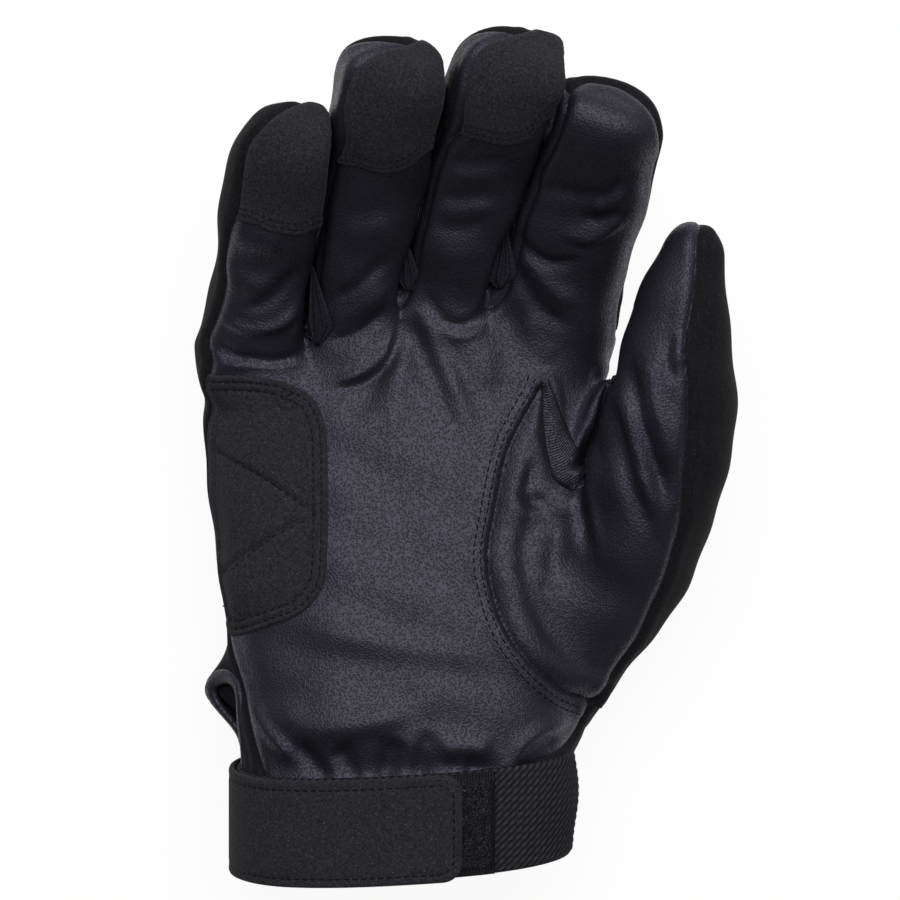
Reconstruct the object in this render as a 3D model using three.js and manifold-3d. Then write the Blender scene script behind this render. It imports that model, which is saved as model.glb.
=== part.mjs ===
import * as THREE from "three";
import { mergeVertices } from "three/addons/utils/BufferGeometryUtils.js";
import Module from "manifold-3d";

const wasm = await Module();
wasm.setup();

// A right-hand glove lying on its back, in millimetres and degrees.
// +X runs towards the thumb, +Y towards the fingertips, +Z out of the palm.
// The origin is the middle of the flat back of the hand, in the plane it rests on.

const WALL = 2.2;
const SEAM_GAP = 0.3;
const FINGER_GAP = 1.0;
const HINGE_LIFT = 0.5;
const HINGE_SLACK = 2;
const REACH = 400;
const PALM_SIDES = 26;
const FINGER_SIDES = 12;
const SEAM_HEIGHT = 26;

// Elastic cuff: an oval sleeve whose ends slant, so its palm side hangs lower and its thumb side sits higher.
const CUFF = {
  halfWidth: 41.2,
  halfDepth: 22.8,
  middleHeight: 26.8,
  roundness: 2.3,
  thickness: 1.8,
  top: -57.5,
  length: 24.5,
  slant: 7,
  tilt: 3.2,
  wristLap: 10,
};

// Stations of the hand from the heel to the crotches of the fingers.
const HEEL = { y: -40, left: -41.5, right: 42.5, back: -1, front: 46 };
const MOUND = { y: -18, left: -44.5, right: 45.5, back: -1.5, front: 43.5 };
const MIDDLE = { y: 8, left: -47.7, right: 47.5, back: -1.5, front: 38.5 };
const KNUCKLES = { y: 32, left: -49.7, right: 49, back: -1.5, front: 34.5 };
const CROTCHES = { y: 48, left: -48.5, right: 49.5, back: 1, front: 32 };
const HAND_END = { y: 55, left: -43, right: 45, back: 7, front: 27 };
const HAND_ROUNDNESS = 2.5;
const KNUCKLE_SKEW = 0.12;
const WRIST_TOP = -54.5;

// Fingers: place of the knuckle hinge in plan, sideways lean, and the two lengths.
const LITTLE = { x: -35.5, y: 42, lean: 9, baseLength: 30, tipLength: 35 };
const RING = { x: -12.7, y: 49.9, lean: 11, baseLength: 34, tipLength: 40 };
const MIDDLE_FINGER = { x: 10.1, y: 52, lean: 13.5, baseLength: 36, tipLength: 41 };
const INDEX = { x: 35.5, y: 49.9, lean: 14.5, baseLength: 30, tipLength: 35 };
const FINGER = {
  baseWidth: 23.4,
  middleWidth: 25,
  tipWidth: 26.8,
  baseDepth: 25,
  tipDepth: 23,
  knuckleHeight: 21,
  rootLength: 16,
  rootTilt: 10,
  baseTilt: 26,
  tipTilt: 40,
  capLength: 14,
  roundness: 2.3,
};
const FLEX_LEAN = 12;
const LITTLE_ROOM = -1;
const INDEX_ROOM = 0.8;
const KNUCKLE_BACKWARD = 20;
const JOINT_BACKWARD = 12;
const FRONT_SEAM = 3;
const BACK_SEAM = -5;
const FOURCHETTE_STOP = 5;

// Suede tip patch, laid on the leather from this far before the fingertip.
const PATCH = { length: 31, thickness: 1, seamInset: 0.8 };

// Thumb: middle line and radius from the wrist side to the tip.
const THUMB = [
  { x: 35.5, y: -50, z: 23, radius: 6 },
  { x: 38, y: -43, z: 21, radius: 10.5 },
  { x: 44.5, y: -28.8, z: 22.5, radius: 14.2 },
  { x: 54, y: -9.6, z: 27, radius: 16.6 },
  { x: 60.2, y: 9.6, z: 33, radius: 16.8, hinge: true },
  { x: 63.3, y: 28.8, z: 39, radius: 16.2 },
  { x: 64.5, y: 43.2, z: 42, radius: 13.2 },
  { x: 65.6, y: 54.5, z: 43.8, radius: 10.6 },
  { x: 67, y: 63.5, z: 44.8, radius: 7.2 },
  { x: 68, y: 69, z: 45.2, radius: 3.6 },
];
const THUMB_HINGE_STATION = THUMB.findIndex((station) => station.hinge);
const THUMB_ROLL = 45;
const THUMB_FLEX_ROLL = 15;
const THUMB_SEAM = 4;
const THUMB_FLOOR = 14;
const THUMB_BACKWARD = 10;
const THUMB_BACK_EDGE = 44;
const THUMB_CLEAR = 1.8;
const THUMB_OUTLINE = [
  [33.6, 34.1], [28, 26], [22.6, 16], [18.5, 3], [17.3, -9.6], [18.8, -20], [22.5, -29], [28.5, -36.5],
  [37.2, -42], [43.5, -44.6], [90, -44.6], [90, 16], [42, 16], [40.8, 7.2], [36, 13], [34.2, 24],
];
const GORE_OUTLINE = [
  [33.4, 31], [33.4, 23], [35.2, 14], [38, 9], [40.6, 7.8], [42.4, 11], [42.6, 18], [39.5, 25], [36, 31],
];
const GORE_THICKNESS = 0.9;

// Padded heel patch: crown over the palm and the two arms of its sewn chevron.
const PAD = {
  edgeRise: 1.4,
  crown: 2.6,
  rollWidth: 7,
  channelDepth: 1.3,
  channelWidth: 2.4,
  coverThickness: 0.9,
  foamInset: 1.6,
  step: 2.5,
};
const PAD_OUTLINE = [
  [-46, 34.4], [-38, 34.2], [-29.5, 33.2], [-22.8, 29.6], [-19.2, 23], [-18.7, 12], [-18.7, -9.6],
  [-19.9, -15.6], [-24.7, -22.3], [-32, -26], [-40.5, -28], [-44.2, -12], [-46, 10],
];
const CHEVRON = [[-42.7, 15.4], [-21.6, 1.4], [-41.8, -12.2]];

// Bound slit at the little-finger side of the wrist.
const VENT = { halfWidth: 3.6, top: -37, band: 4.4, lip: 0.8 };

// Strap: hook-and-loop layers over the cuff and the tab that closes them.
const STRAP = {
  thickness: 1.2,
  tabEnd: 13.5,
  cornerRadius: 5,
  anchorEnd: -4,
  loopStart: -22,
  loopEnd: 21.5,
  loopThickness: 0.8,
  hookStart: -18,
  hookEnd: 10.5,
  hookThickness: 0.8,
  edgeInset: 0.6,
};

// Elastic sewn inside the palm just above the cuff.
const WRIST_ELASTIC = { thickness: 1, low: -53, high: -47, left: -30, right: 34 };

const LEATHER = new THREE.MeshStandardMaterial({ color: 0x2b2b30, roughness: 0.55, metalness: 0 });
const SUEDE = new THREE.MeshStandardMaterial({ color: 0x29292b, roughness: 0.95, metalness: 0 });
const NEOPRENE = new THREE.MeshStandardMaterial({ color: 0x151517, roughness: 0.9, metalness: 0 });
const ELASTIC = new THREE.MeshStandardMaterial({ color: 0x1c1c1e, roughness: 0.85, metalness: 0 });
const TAPE = new THREE.MeshStandardMaterial({ color: 0x101012, roughness: 0.95, metalness: 0 });
const FOAM = new THREE.MeshStandardMaterial({ color: 0x3a3a3c, roughness: 0.9, metalness: 0 });

const group = new THREE.Group();
const vec = (x, y, z) => new THREE.Vector3(x, y, z);
const rad = THREE.MathUtils.degToRad;
const half = SEAM_GAP / 2;

function solid(geometry) {
  geometry.deleteAttribute("normal");
  geometry.deleteAttribute("uv");
  const merged = mergeVertices(geometry, 1e-4);
  return new wasm.Manifold(new wasm.Mesh({
    numProp: 3,
    vertProperties: new Float32Array(merged.attributes.position.array),
    triVerts: new Uint32Array(merged.index.array),
  }));
}

function piece(name, body, material) {
  const data = body.getMesh();
  const geometry = new THREE.BufferGeometry();
  geometry.setAttribute("position", new THREE.BufferAttribute(new Float32Array(data.vertProperties), 3));
  geometry.setIndex(new THREE.BufferAttribute(new Uint32Array(data.triVerts), 1));
  geometry.computeVertexNormals();
  const mesh = new THREE.Mesh(geometry, material);
  mesh.name = name;
  group.add(mesh);
}

function joinAll(bodies) {
  return bodies.reduce((sum, body) => sum.add(body));
}

const power = (value, exponent) => Math.sign(value) * Math.abs(value) ** exponent;

function ovalRing(centre, across, up, halfAcross, halfUp, roundness, sides) {
  const points = [];
  for (let i = 0; i < sides; i += 1) {
    const angle = (2 * Math.PI * i) / sides;
    const point = centre.clone();
    point.addScaledVector(across, halfAcross * power(Math.cos(angle), 2 / roundness));
    point.addScaledVector(up, halfUp * power(Math.sin(angle), 2 / roundness));
    points.push(point);
  }
  return points;
}

// Closed body through a row of rings, turned to face out whichever way the rings run.
function loft(rings) {
  const sides = rings[0].length;
  const positions = rings.flat().flatMap((p) => [p.x, p.y, p.z]);
  const index = [];
  for (let r = 0; r + 1 < rings.length; r += 1) {
    for (let i = 0; i < sides; i += 1) {
      const a = r * sides + i;
      const b = r * sides + ((i + 1) % sides);
      index.push(a, b, a + sides, b, b + sides, a + sides);
    }
  }
  const ends = [rings[0], rings[rings.length - 1]];
  ends.forEach((ring, end) => {
    const middle = ring.reduce((sum, p) => sum.add(p), vec(0, 0, 0)).divideScalar(sides);
    const tip = positions.length / 3;
    const start = end * (rings.length - 1) * sides;
    positions.push(middle.x, middle.y, middle.z);
    for (let i = 0; i < sides; i += 1) {
      const a = start + i;
      const b = start + ((i + 1) % sides);
      if (end === 0) index.push(tip, b, a);
      else index.push(tip, a, b);
    }
  });
  const geometry = new THREE.BufferGeometry();
  geometry.setAttribute("position", new THREE.Float32BufferAttribute(positions, 3));
  geometry.setIndex(index);
  const body = solid(geometry);
  if (body.volume() > 0) return body;
  geometry.setIndex(index.map((_, i) => index[i - (i % 3) + 2 - (i % 3)]));
  return solid(geometry);
}

// Block between two corners, in the frame of three axes at a point.
function block(low, high, at = vec(0, 0, 0), axes = [vec(1, 0, 0), vec(0, 1, 0), vec(0, 0, 1)]) {
  const geometry = new THREE.BoxGeometry(high[0] - low[0], high[1] - low[1], high[2] - low[2]);
  geometry.translate((low[0] + high[0]) / 2, (low[1] + high[1]) / 2, (low[2] + high[2]) / 2);
  geometry.applyMatrix4(new THREE.Matrix4().makeBasis(...axes).setPosition(at));
  return solid(geometry);
}

function offsetOutline(points, distance) {
  const turn = Math.sign(THREE.ShapeUtils.area(points.map((p) => new THREE.Vector2(...p))));
  return points.map((point, i) => {
    const before = points[(i + points.length - 1) % points.length];
    const after = points[(i + 1) % points.length];
    const into = new THREE.Vector2(point[0] - before[0], point[1] - before[1]).normalize();
    const out = new THREE.Vector2(after[0] - point[0], after[1] - point[1]).normalize();
    const normal = new THREE.Vector2(into.y + out.y, -into.x - out.x).normalize();
    const stretch = distance / Math.max(0.5, normal.x * into.y - normal.y * into.x);
    return [point[0] + turn * normal.x * stretch, point[1] + turn * normal.y * stretch];
  });
}

// Upright prism over an outline in plan.
function prism(points, low = -REACH, high = REACH) {
  const shape = new THREE.Shape(points.map((p) => new THREE.Vector2(...p)));
  const geometry = new THREE.ExtrudeGeometry(shape, { depth: high - low, bevelEnabled: false });
  geometry.translate(0, 0, low);
  return solid(geometry);
}

// Hand and cuff forms.
const slantRate = Math.tan(rad(CUFF.slant));
const tiltRate = Math.tan(rad(CUFF.tilt));
const wristWidth = CUFF.halfWidth - CUFF.thickness - SEAM_GAP;
const wristDepth = CUFF.halfDepth - CUFF.thickness - SEAM_GAP;
const cuffBottom = CUFF.top - CUFF.length;

function wristStation(y) {
  return {
    y,
    left: -wristWidth,
    right: wristWidth,
    back: CUFF.middleHeight - wristDepth,
    front: CUFF.middleHeight + wristDepth,
    slant: slantRate,
    skew: tiltRate,
    roundness: CUFF.roundness,
  };
}

const HAND = [
  wristStation(CUFF.top - CUFF.wristLap),
  wristStation(WRIST_TOP),
  { ...HEEL, slant: slantRate / 2, skew: tiltRate / 2 },
  MOUND,
  MIDDLE,
  { ...KNUCKLES, skew: KNUCKLE_SKEW / 2 },
  { ...CROTCHES, skew: KNUCKLE_SKEW },
  { ...HAND_END, skew: KNUCKLE_SKEW },
];

function handForm(grow) {
  const rings = HAND.map((station, i) => {
    const last = i === HAND.length - 1;
    const opened = i === 0 && grow < 0 ? WALL * 4 : 0;
    const y = station.y - opened + (last ? grow : 0);
    const centre = vec((station.left + station.right) / 2, y, (station.back + station.front) / 2);
    const halfAcross = (station.right - station.left) / 2 + grow;
    const halfUp = (station.front - station.back) / 2 + grow;
    const roundness = station.roundness ?? HAND_ROUNDNESS;
    const ring = ovalRing(centre, vec(1, 0, 0), vec(0, 0, 1), halfAcross, halfUp, roundness, PALM_SIDES);
    ring.forEach((point) => {
      point.y += (station.skew ?? 0) * point.x - (station.slant ?? 0) * (point.z - centre.z);
    });
    return ring;
  });
  return loft(rings).intersect(block([-REACH, -REACH, -grow], [REACH, REACH, REACH]));
}

// Height of the palm face at a place in plan.
function palmHeight(x, y) {
  const stations = HAND.slice(1, 7);
  let k = 0;
  while (k + 2 < stations.length && y > stations[k + 1].y) k += 1;
  const t = THREE.MathUtils.clamp((y - stations[k].y) / (stations[k + 1].y - stations[k].y), 0, 1);
  const mix = (key) => THREE.MathUtils.lerp(stations[k][key], stations[k + 1][key], t);
  const a = (mix("right") - mix("left")) / 2;
  const b = (mix("front") - mix("back")) / 2;
  const away = Math.min(1, Math.abs(x - (mix("right") + mix("left")) / 2) / a);
  return mix("front") - b + b * (1 - away ** HAND_ROUNDNESS) ** (1 / HAND_ROUNDNESS);
}

function cuffSleeve(grow, low = cuffBottom, high = CUFF.top) {
  const rings = [low, high].map((y) => {
    const ring = ovalRing(vec(0, y, CUFF.middleHeight), vec(1, 0, 0), vec(0, 0, 1),
      CUFF.halfWidth + grow, CUFF.halfDepth + grow, CUFF.roundness, PALM_SIDES);
    ring.forEach((point) => {
      point.y += tiltRate * point.x - slantRate * (point.z - CUFF.middleHeight);
    });
    return ring;
  });
  return loft(rings);
}

// Finger frames: across the finger, along it at a tilt, and out of its front.
function fingerAxes(finger, tilt) {
  const lean = rad(finger.lean);
  const across = vec(Math.cos(lean), -Math.sin(lean), 0);
  const plan = vec(Math.sin(lean), Math.cos(lean), 0);
  const along = plan.clone().multiplyScalar(Math.cos(rad(tilt))).add(vec(0, 0, Math.sin(rad(tilt))));
  return [across, along, across.clone().cross(along)];
}

function fingerCentres(finger) {
  const knuckle = vec(finger.x, finger.y, FINGER.knuckleHeight);
  const joint = knuckle.clone().addScaledVector(fingerAxes(finger, FINGER.baseTilt)[1], finger.baseLength);
  return { knuckle, joint };
}

function fingerForm(finger, grow) {
  const { knuckle, joint } = fingerCentres(finger);
  const rings = [];
  const station = (from, travel, tilt, width, depth, scale = 1) => {
    const [across, along, up] = fingerAxes(finger, tilt);
    const centre = from.clone().addScaledVector(along, travel);
    rings.push(ovalRing(centre, across, up, (width / 2 + grow) * scale, (depth / 2 + grow) * scale,
      FINGER.roundness, FINGER_SIDES));
  };
  const middleTilt = (FINGER.baseTilt + FINGER.tipTilt) / 2;
  const middleDepth = (FINGER.baseDepth + FINGER.tipDepth) / 2;
  station(knuckle, -FINGER.rootLength, FINGER.rootTilt, FINGER.baseWidth - WALL, FINGER.baseDepth - WALL);
  station(knuckle, 0, FINGER.baseTilt - JOINT_BACKWARD, FINGER.baseWidth, FINGER.baseDepth);
  station(knuckle, finger.baseLength / 2, FINGER.baseTilt, FINGER.middleWidth, FINGER.baseDepth);
  station(joint, 0, middleTilt, FINGER.middleWidth, middleDepth);
  const cap = FINGER.capLength + grow;
  const straight = finger.tipLength - FINGER.capLength;
  station(joint, straight / 2, FINGER.tipTilt, FINGER.tipWidth, middleDepth);
  for (const t of [0, 0.5, 0.8, 0.96]) {
    const scale = Math.sqrt(1 - t * t);
    station(joint, straight + cap * t, FINGER.tipTilt, FINGER.tipWidth, FINGER.tipDepth, scale);
  }
  return loft(rings);
}

// Thumb form, frame and hinge.
function thumbAxes(k, roll = THUMB_ROLL) {
  const point = (s) => vec(s.x, s.y, s.z);
  const before = point(THUMB[Math.max(0, k - 1)]);
  const after = point(THUMB[Math.min(THUMB.length - 1, k + 1)]);
  const along = after.sub(before).normalize();
  const facing = vec(-Math.sin(rad(roll)), 0, Math.cos(rad(roll)));
  const across = along.clone().cross(facing).normalize();
  return [across, along, across.clone().cross(along)];
}

function thumbForm(grow) {
  const rings = THUMB.map((s, k) => {
    const [across, along, up] = thumbAxes(k);
    const end = k === THUMB.length - 1 ? grow : 0;
    const centre = vec(s.x, s.y, s.z).addScaledVector(along, end);
    const radius = Math.max(s.radius + grow, 1);
    return ovalRing(centre, across, up, radius, radius, 2, FINGER_SIDES);
  });
  return loft(rings);
}

const thumbFrame = thumbAxes(THUMB_HINGE_STATION);
const thumbStation = THUMB[THUMB_HINGE_STATION];
const thumbCentre = vec(thumbStation.x, thumbStation.y, thumbStation.z);
const thumbFlex = thumbAxes(THUMB_HINGE_STATION, THUMB_FLEX_ROLL);
const thumbHinge = thumbCentre.clone().addScaledVector(thumbFlex[2], thumbStation.radius + HINGE_LIFT);

function turned(axes, degrees) {
  return axes.map((axis) => axis.clone().applyAxisAngle(axes[0], rad(degrees)));
}

const beyond = (at, axes, from = 0) => block([-REACH, from, -REACH], [REACH, REACH, REACH], at, axes);
const short = (at, axes, to = 0) => block([-REACH, -REACH, -REACH], [REACH, to, REACH], at, axes);

// Fingers with the planes that part them from each other.
const FINGERS = [
  { name: "little", ...LITTLE, patched: true },
  { name: "ring", ...RING, patched: true },
  { name: "middle", ...MIDDLE_FINGER, patched: true },
  { name: "index", ...INDEX, patched: false },
];

const flexAxes = (tilt) => fingerAxes({ lean: FLEX_LEAN }, tilt);
const laneShift = [LITTLE_ROOM, 0, INDEX_ROOM];
const partings = FINGERS.slice(1).map((finger, i) => {
  const other = FINGERS[i];
  const x = (finger.x + other.x) / 2 + laneShift[i];
  return { at: vec(x, (finger.y + other.y) / 2, 0), axes: flexAxes(0) };
});

function lane(i, gap) {
  const finger = FINGERS[i];
  const outer = FINGER.baseWidth / 2 + WALL * 2;
  let strip = block([-REACH, -REACH, -REACH], [outer, REACH, REACH],
    vec(finger.x, finger.y, 0), fingerAxes(finger, 0));
  if (i === 0) strip = block([-REACH, -REACH, -REACH], [REACH, REACH, REACH]);
  if (i > 0) {
    const { at, axes } = partings[i - 1];
    strip = strip.intersect(block([gap, -REACH, -REACH], [REACH, REACH, REACH], at, axes));
  }
  if (i < partings.length) {
    const { at, axes } = partings[i];
    strip = strip.intersect(block([-REACH, -REACH, -REACH], [-gap, REACH, REACH], at, axes));
  }
  return strip;
}

function knuckleHinge(finger) {
  const up = flexAxes(FINGER.baseTilt)[2];
  return fingerCentres(finger).knuckle.addScaledVector(up, FINGER.baseDepth / 2 + HINGE_LIFT);
}

function jointHinge(finger) {
  const up = flexAxes((FINGER.baseTilt + FINGER.tipTilt) / 2)[2];
  const depth = (FINGER.baseDepth + FINGER.tipDepth) / 4;
  return fingerCentres(finger).joint.addScaledVector(up, depth + HINGE_LIFT);
}

const palmOuter = handForm(0);
const thumbOuter = thumbForm(0);
const stalls = FINGERS.map((f, i) => fingerForm(f, -WALL).intersect(lane(i, FINGER_GAP / 2 + WALL)));
const inner = joinAll([handForm(-WALL), thumbForm(-WALL), ...stalls]);
const thumbNeck = turned(thumbFlex, -THUMB_BACKWARD - HINGE_SLACK);
const nearThumb = short(thumbHinge, thumbNeck);
const floorCut = block([-REACH, -REACH, 0], [REACH, REACH, REACH]);

// Finger pieces.
FINGERS.forEach((finger, i) => {
  const { name } = finger;
  const hinge = knuckleHinge(finger);
  const bend = jointHinge(finger);
  const baseAxes = fingerAxes(finger, FINGER.baseTilt);
  const tipAxes = fingerAxes(finger, FINGER.tipTilt);
  const basePlane = flexAxes(FINGER.baseTilt);
  const tipPlane = flexAxes(FINGER.tipTilt);
  const palmPlane = flexAxes(FINGER.baseTilt - KNUCKLE_BACKWARD - HINGE_SLACK);
  const bendPlane = flexAxes(FINGER.tipTilt - JOINT_BACKWARD - HINGE_SLACK);
  const { knuckle, joint } = fingerCentres(finger);
  const room = lane(i, FINGER_GAP / 2);
  const whole = fingerForm(finger, 0).add(palmOuter).intersect(room).subtract(inner).intersect(floorCut);
  const belowSkin = (at, axes, depth) => block([-REACH, -REACH, -REACH], [REACH, REACH, -depth], at, axes);

  const base = whole.intersect(beyond(hinge, basePlane, half)).intersect(short(bend, bendPlane, -half));
  const tip = whole.intersect(beyond(bend, tipPlane, half));
  const knuckleGusset = whole.intersect(beyond(hinge, palmPlane, half))
    .intersect(short(hinge, basePlane, -half));
  const jointGusset = whole.intersect(beyond(bend, bendPlane, half))
    .intersect(short(bend, tipPlane, -half));
  piece(`${name}_knuckle`, knuckleGusset.intersect(belowSkin(hinge, basePlane, WALL * 4)), NEOPRENE);
  piece(`${name}_joint`, jointGusset.intersect(belowSkin(bend, tipPlane, WALL * 1.5)), NEOPRENE);

  const parts = [
    { part: "base", body: base, at: knuckle, axes: baseAxes, stop: REACH },
    { part: "tip", body: tip, at: joint, axes: tipAxes, stop: finger.tipLength - FOURCHETTE_STOP },
  ];
  const sides = [
    { side: "thumbward", low: SEAM_GAP, high: REACH, sewn: i < FINGERS.length - 1 },
    { side: "outward", low: -REACH, high: -SEAM_GAP, sewn: i > 0 },
  ];
  parts.forEach(({ part, body, at, axes, stop }) => {
    piece(`${name}_${part}_front`,
      body.intersect(block([-REACH, -REACH, FRONT_SEAM + half], [REACH, REACH, REACH], at, axes)), LEATHER);
    let back = block([-REACH, -REACH, -REACH], [REACH, REACH, BACK_SEAM - half], at, axes);
    if (stop < REACH) {
      back = back.add(block([-REACH, stop + half, -REACH], [REACH, REACH, FRONT_SEAM - half], at, axes));
    }
    sides.forEach(({ side, low, high, sewn }) => {
      const band = [[low, -REACH, BACK_SEAM + half], [high, stop - half, FRONT_SEAM - half]];
      const strip = body.intersect(block(...band, at, axes));
      if (sewn) piece(`${name}_${part}_fourchette_${side}`, strip, LEATHER);
      else back = back.add(block([low, -REACH, -REACH], [high, REACH, FRONT_SEAM - half], at, axes));
    });
    piece(`${name}_${part}_back`, body.intersect(back), NEOPRENE);
  });
  if (finger.patched) {
    const from = finger.tipLength - PATCH.length;
    const reach = block([-REACH, from, FRONT_SEAM + PATCH.seamInset], [REACH, REACH, REACH], joint, tipAxes);
    const layer = fingerForm(finger, SEAM_GAP + PATCH.thickness).subtract(fingerForm(finger, SEAM_GAP));
    piece(`${name}_tip_patch`, layer.intersect(reach).intersect(room), SUEDE);
  }
});

// Hand, thumb root and their panels.
const fingerSide = joinAll(FINGERS.map((finger, i) => {
  const palmPlane = flexAxes(FINGER.baseTilt - KNUCKLE_BACKWARD - HINGE_SLACK);
  return lane(i, -half).intersect(beyond(knuckleHinge(finger), palmPlane));
}));
const thumbRoot = thumbOuter.intersect(nearThumb);
const ventSlot = (grow) => {
  const halfWidth = VENT.halfWidth + grow;
  const shape = new THREE.Shape();
  shape.moveTo(-halfWidth, -REACH);
  shape.lineTo(halfWidth, -REACH);
  shape.lineTo(halfWidth, VENT.top - VENT.halfWidth);
  shape.absarc(0, VENT.top - VENT.halfWidth, halfWidth, 0, Math.PI, false);
  const geometry = new THREE.ExtrudeGeometry(shape, { depth: REACH, bevelEnabled: false, curveSegments: 8 });
  geometry.rotateY(-Math.PI / 2);
  geometry.translate(0, 0, CUFF.middleHeight);
  return solid(geometry);
};
const shell = palmOuter.add(thumbRoot).subtract(inner).subtract(fingerSide)
  .subtract(ventSlot(VENT.band + SEAM_GAP)).intersect(floorCut);

const thumbSplit = (low, high) => block([-REACH, -REACH, low], [REACH, REACH, high],
  thumbCentre, thumbFrame);
const frontOfThumb = (gap) => thumbSplit(THUMB_SEAM + gap, REACH)
  .intersect(block([-REACH, -REACH, THUMB_FLOOR + gap], [REACH, REACH, REACH]));
const thumbPanel = (gap) => prism(offsetOutline(THUMB_OUTLINE, gap)).intersect(frontOfThumb(-gap));
const outlineLow = Math.min(...THUMB_OUTLINE.map((p) => p[1]));
const outlineHigh = THUMB_OUTLINE[THUMB_OUTLINE.length - 4][1];
const thumbBackZone = (gap) => block([THUMB_BACK_EDGE - gap, outlineLow - gap, -REACH],
  [REACH, outlineHigh + gap, REACH]);

piece("palm_panel", shell.intersect(block([-REACH, -REACH, SEAM_HEIGHT + half], [REACH, REACH, REACH]))
  .subtract(thumbPanel(half)).subtract(thumbBackZone(half)), LEATHER);
piece("thumb_base_front", shell.intersect(thumbPanel(-half)), LEATHER);
piece("thumb_base_back", shell.intersect(thumbBackZone(-half)).subtract(thumbPanel(half)), NEOPRENE);
piece("back_panel", shell.intersect(block([-REACH, -REACH, -REACH], [REACH, REACH, SEAM_HEIGHT - half]))
  .subtract(thumbPanel(half)).subtract(thumbBackZone(half)), NEOPRENE);

// Free end of the thumb.
const thumbClear = joinAll([handForm(THUMB_CLEAR), fingerForm(FINGERS[3], THUMB_CLEAR)]);
const thumbShell = thumbOuter.subtract(inner).subtract(thumbClear);
const thumbTip = thumbShell.intersect(beyond(thumbHinge, thumbFlex, half));
piece("thumb_tip_front", thumbTip.intersect(thumbSplit(THUMB_SEAM + half, REACH)), LEATHER);
piece("thumb_tip_back", thumbTip.intersect(thumbSplit(-REACH, THUMB_SEAM - half)), NEOPRENE);
piece("thumb_knuckle", thumbShell.intersect(beyond(thumbHinge, thumbNeck, half))
  .intersect(short(thumbHinge, thumbFlex, -half))
  .intersect(block([-REACH, -REACH, -REACH], [REACH, REACH, -WALL * 2], thumbHinge, thumbFlex)), NEOPRENE);

// Gore sewn over the thumb crotch.
const goreLayer = (grow) => handForm(grow).add(thumbForm(grow).intersect(nearThumb));
piece("thumb_gore", goreLayer(SEAM_GAP + GORE_THICKNESS).subtract(goreLayer(SEAM_GAP))
  .intersect(prism(GORE_OUTLINE, SEAM_HEIGHT)), LEATHER);

// Padded heel: the block under a crowned face with sewn channels, and the foam inside it.
function padFace(drop) {
  const xs = PAD_OUTLINE.map((p) => p[0]);
  const ys = PAD_OUTLINE.map((p) => p[1]);
  const west = Math.min(...xs) - PAD.step;
  const south = Math.min(...ys) - PAD.step;
  const columns = Math.ceil((Math.max(...xs) + PAD.step - west) / PAD.step);
  const rows = Math.ceil((Math.max(...ys) + PAD.step - south) / PAD.step);
  const outline = PAD_OUTLINE.map((p) => new THREE.Vector2(...p));
  const toSegment = (p, a, b) => {
    const line = new THREE.Line3(vec(a[0], a[1], 0), vec(b[0], b[1], 0));
    return line.closestPointToPoint(vec(p[0], p[1], 0), true, vec(0, 0, 0)).distanceTo(vec(p[0], p[1], 0));
  };
  const height = (x, y) => {
    const edge = Math.min(...outline.map((p, i) => {
      const q = outline[(i + 1) % outline.length];
      return toSegment([x, y], [p.x, p.y], [q.x, q.y]);
    }));
    const swell = 1 - (1 - Math.min(1, edge / PAD.rollWidth)) ** 2;
    const arms = [CHEVRON.slice(0, 2), CHEVRON.slice(1)];
    const channel = Math.min(...arms.map((arm) => toSegment([x, y], ...arm)));
    const dip = PAD.channelDepth * Math.exp(-((channel / PAD.channelWidth) ** 2));
    return palmHeight(x, y) + PAD.edgeRise + PAD.crown * swell - dip - drop;
  };
  const geometry = new THREE.BoxGeometry(columns * PAD.step, rows * PAD.step, 1, columns, rows, 1);
  const position = geometry.attributes.position;
  for (let i = 0; i < position.count; i += 1) {
    const x = position.getX(i) + west + (columns * PAD.step) / 2;
    const y = position.getY(i) + south + (rows * PAD.step) / 2;
    position.setXYZ(i, x, y, position.getZ(i) > 0 ? height(x, y) : SEAM_HEIGHT - PAD.rollWidth);
  }
  return solid(geometry);
}
const padBed = handForm(SEAM_GAP);
const aboveSeam = block([-REACH, -REACH, SEAM_HEIGHT + half], [REACH, REACH, REACH]);
const pocket = offsetOutline(PAD_OUTLINE, -PAD.foamInset);
const core = offsetOutline(PAD_OUTLINE, -PAD.foamInset - SEAM_GAP);
piece("heel_pad_cover", padFace(0).intersect(prism(PAD_OUTLINE))
  .subtract(padFace(PAD.coverThickness).intersect(prism(pocket)))
  .subtract(padBed).intersect(aboveSeam), SUEDE);
piece("heel_pad_foam", padFace(PAD.coverThickness + SEAM_GAP).intersect(prism(core))
  .subtract(padBed).intersect(aboveSeam), FOAM);

// Binding round the vent, and the elastic inside the wrist.
piece("vent_binding", handForm(VENT.lip).subtract(handForm(-WALL - VENT.lip))
  .intersect(ventSlot(VENT.band).subtract(ventSlot(0)))
  .intersect(block([-REACH, -REACH, 0], [0, REACH, REACH]))
  .subtract(cuffSleeve(WALL * 2, cuffBottom - CUFF.length, CUFF.top + SEAM_GAP)), LEATHER);
const elasticFace = -WALL - SEAM_GAP;
piece("wrist_elastic", handForm(elasticFace).subtract(handForm(elasticFace - WRIST_ELASTIC.thickness))
  .intersect(block([WRIST_ELASTIC.left, WRIST_ELASTIC.low, SEAM_HEIGHT + WALL * 2],
    [WRIST_ELASTIC.right, WRIST_ELASTIC.high, REACH])), ELASTIC);

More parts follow.
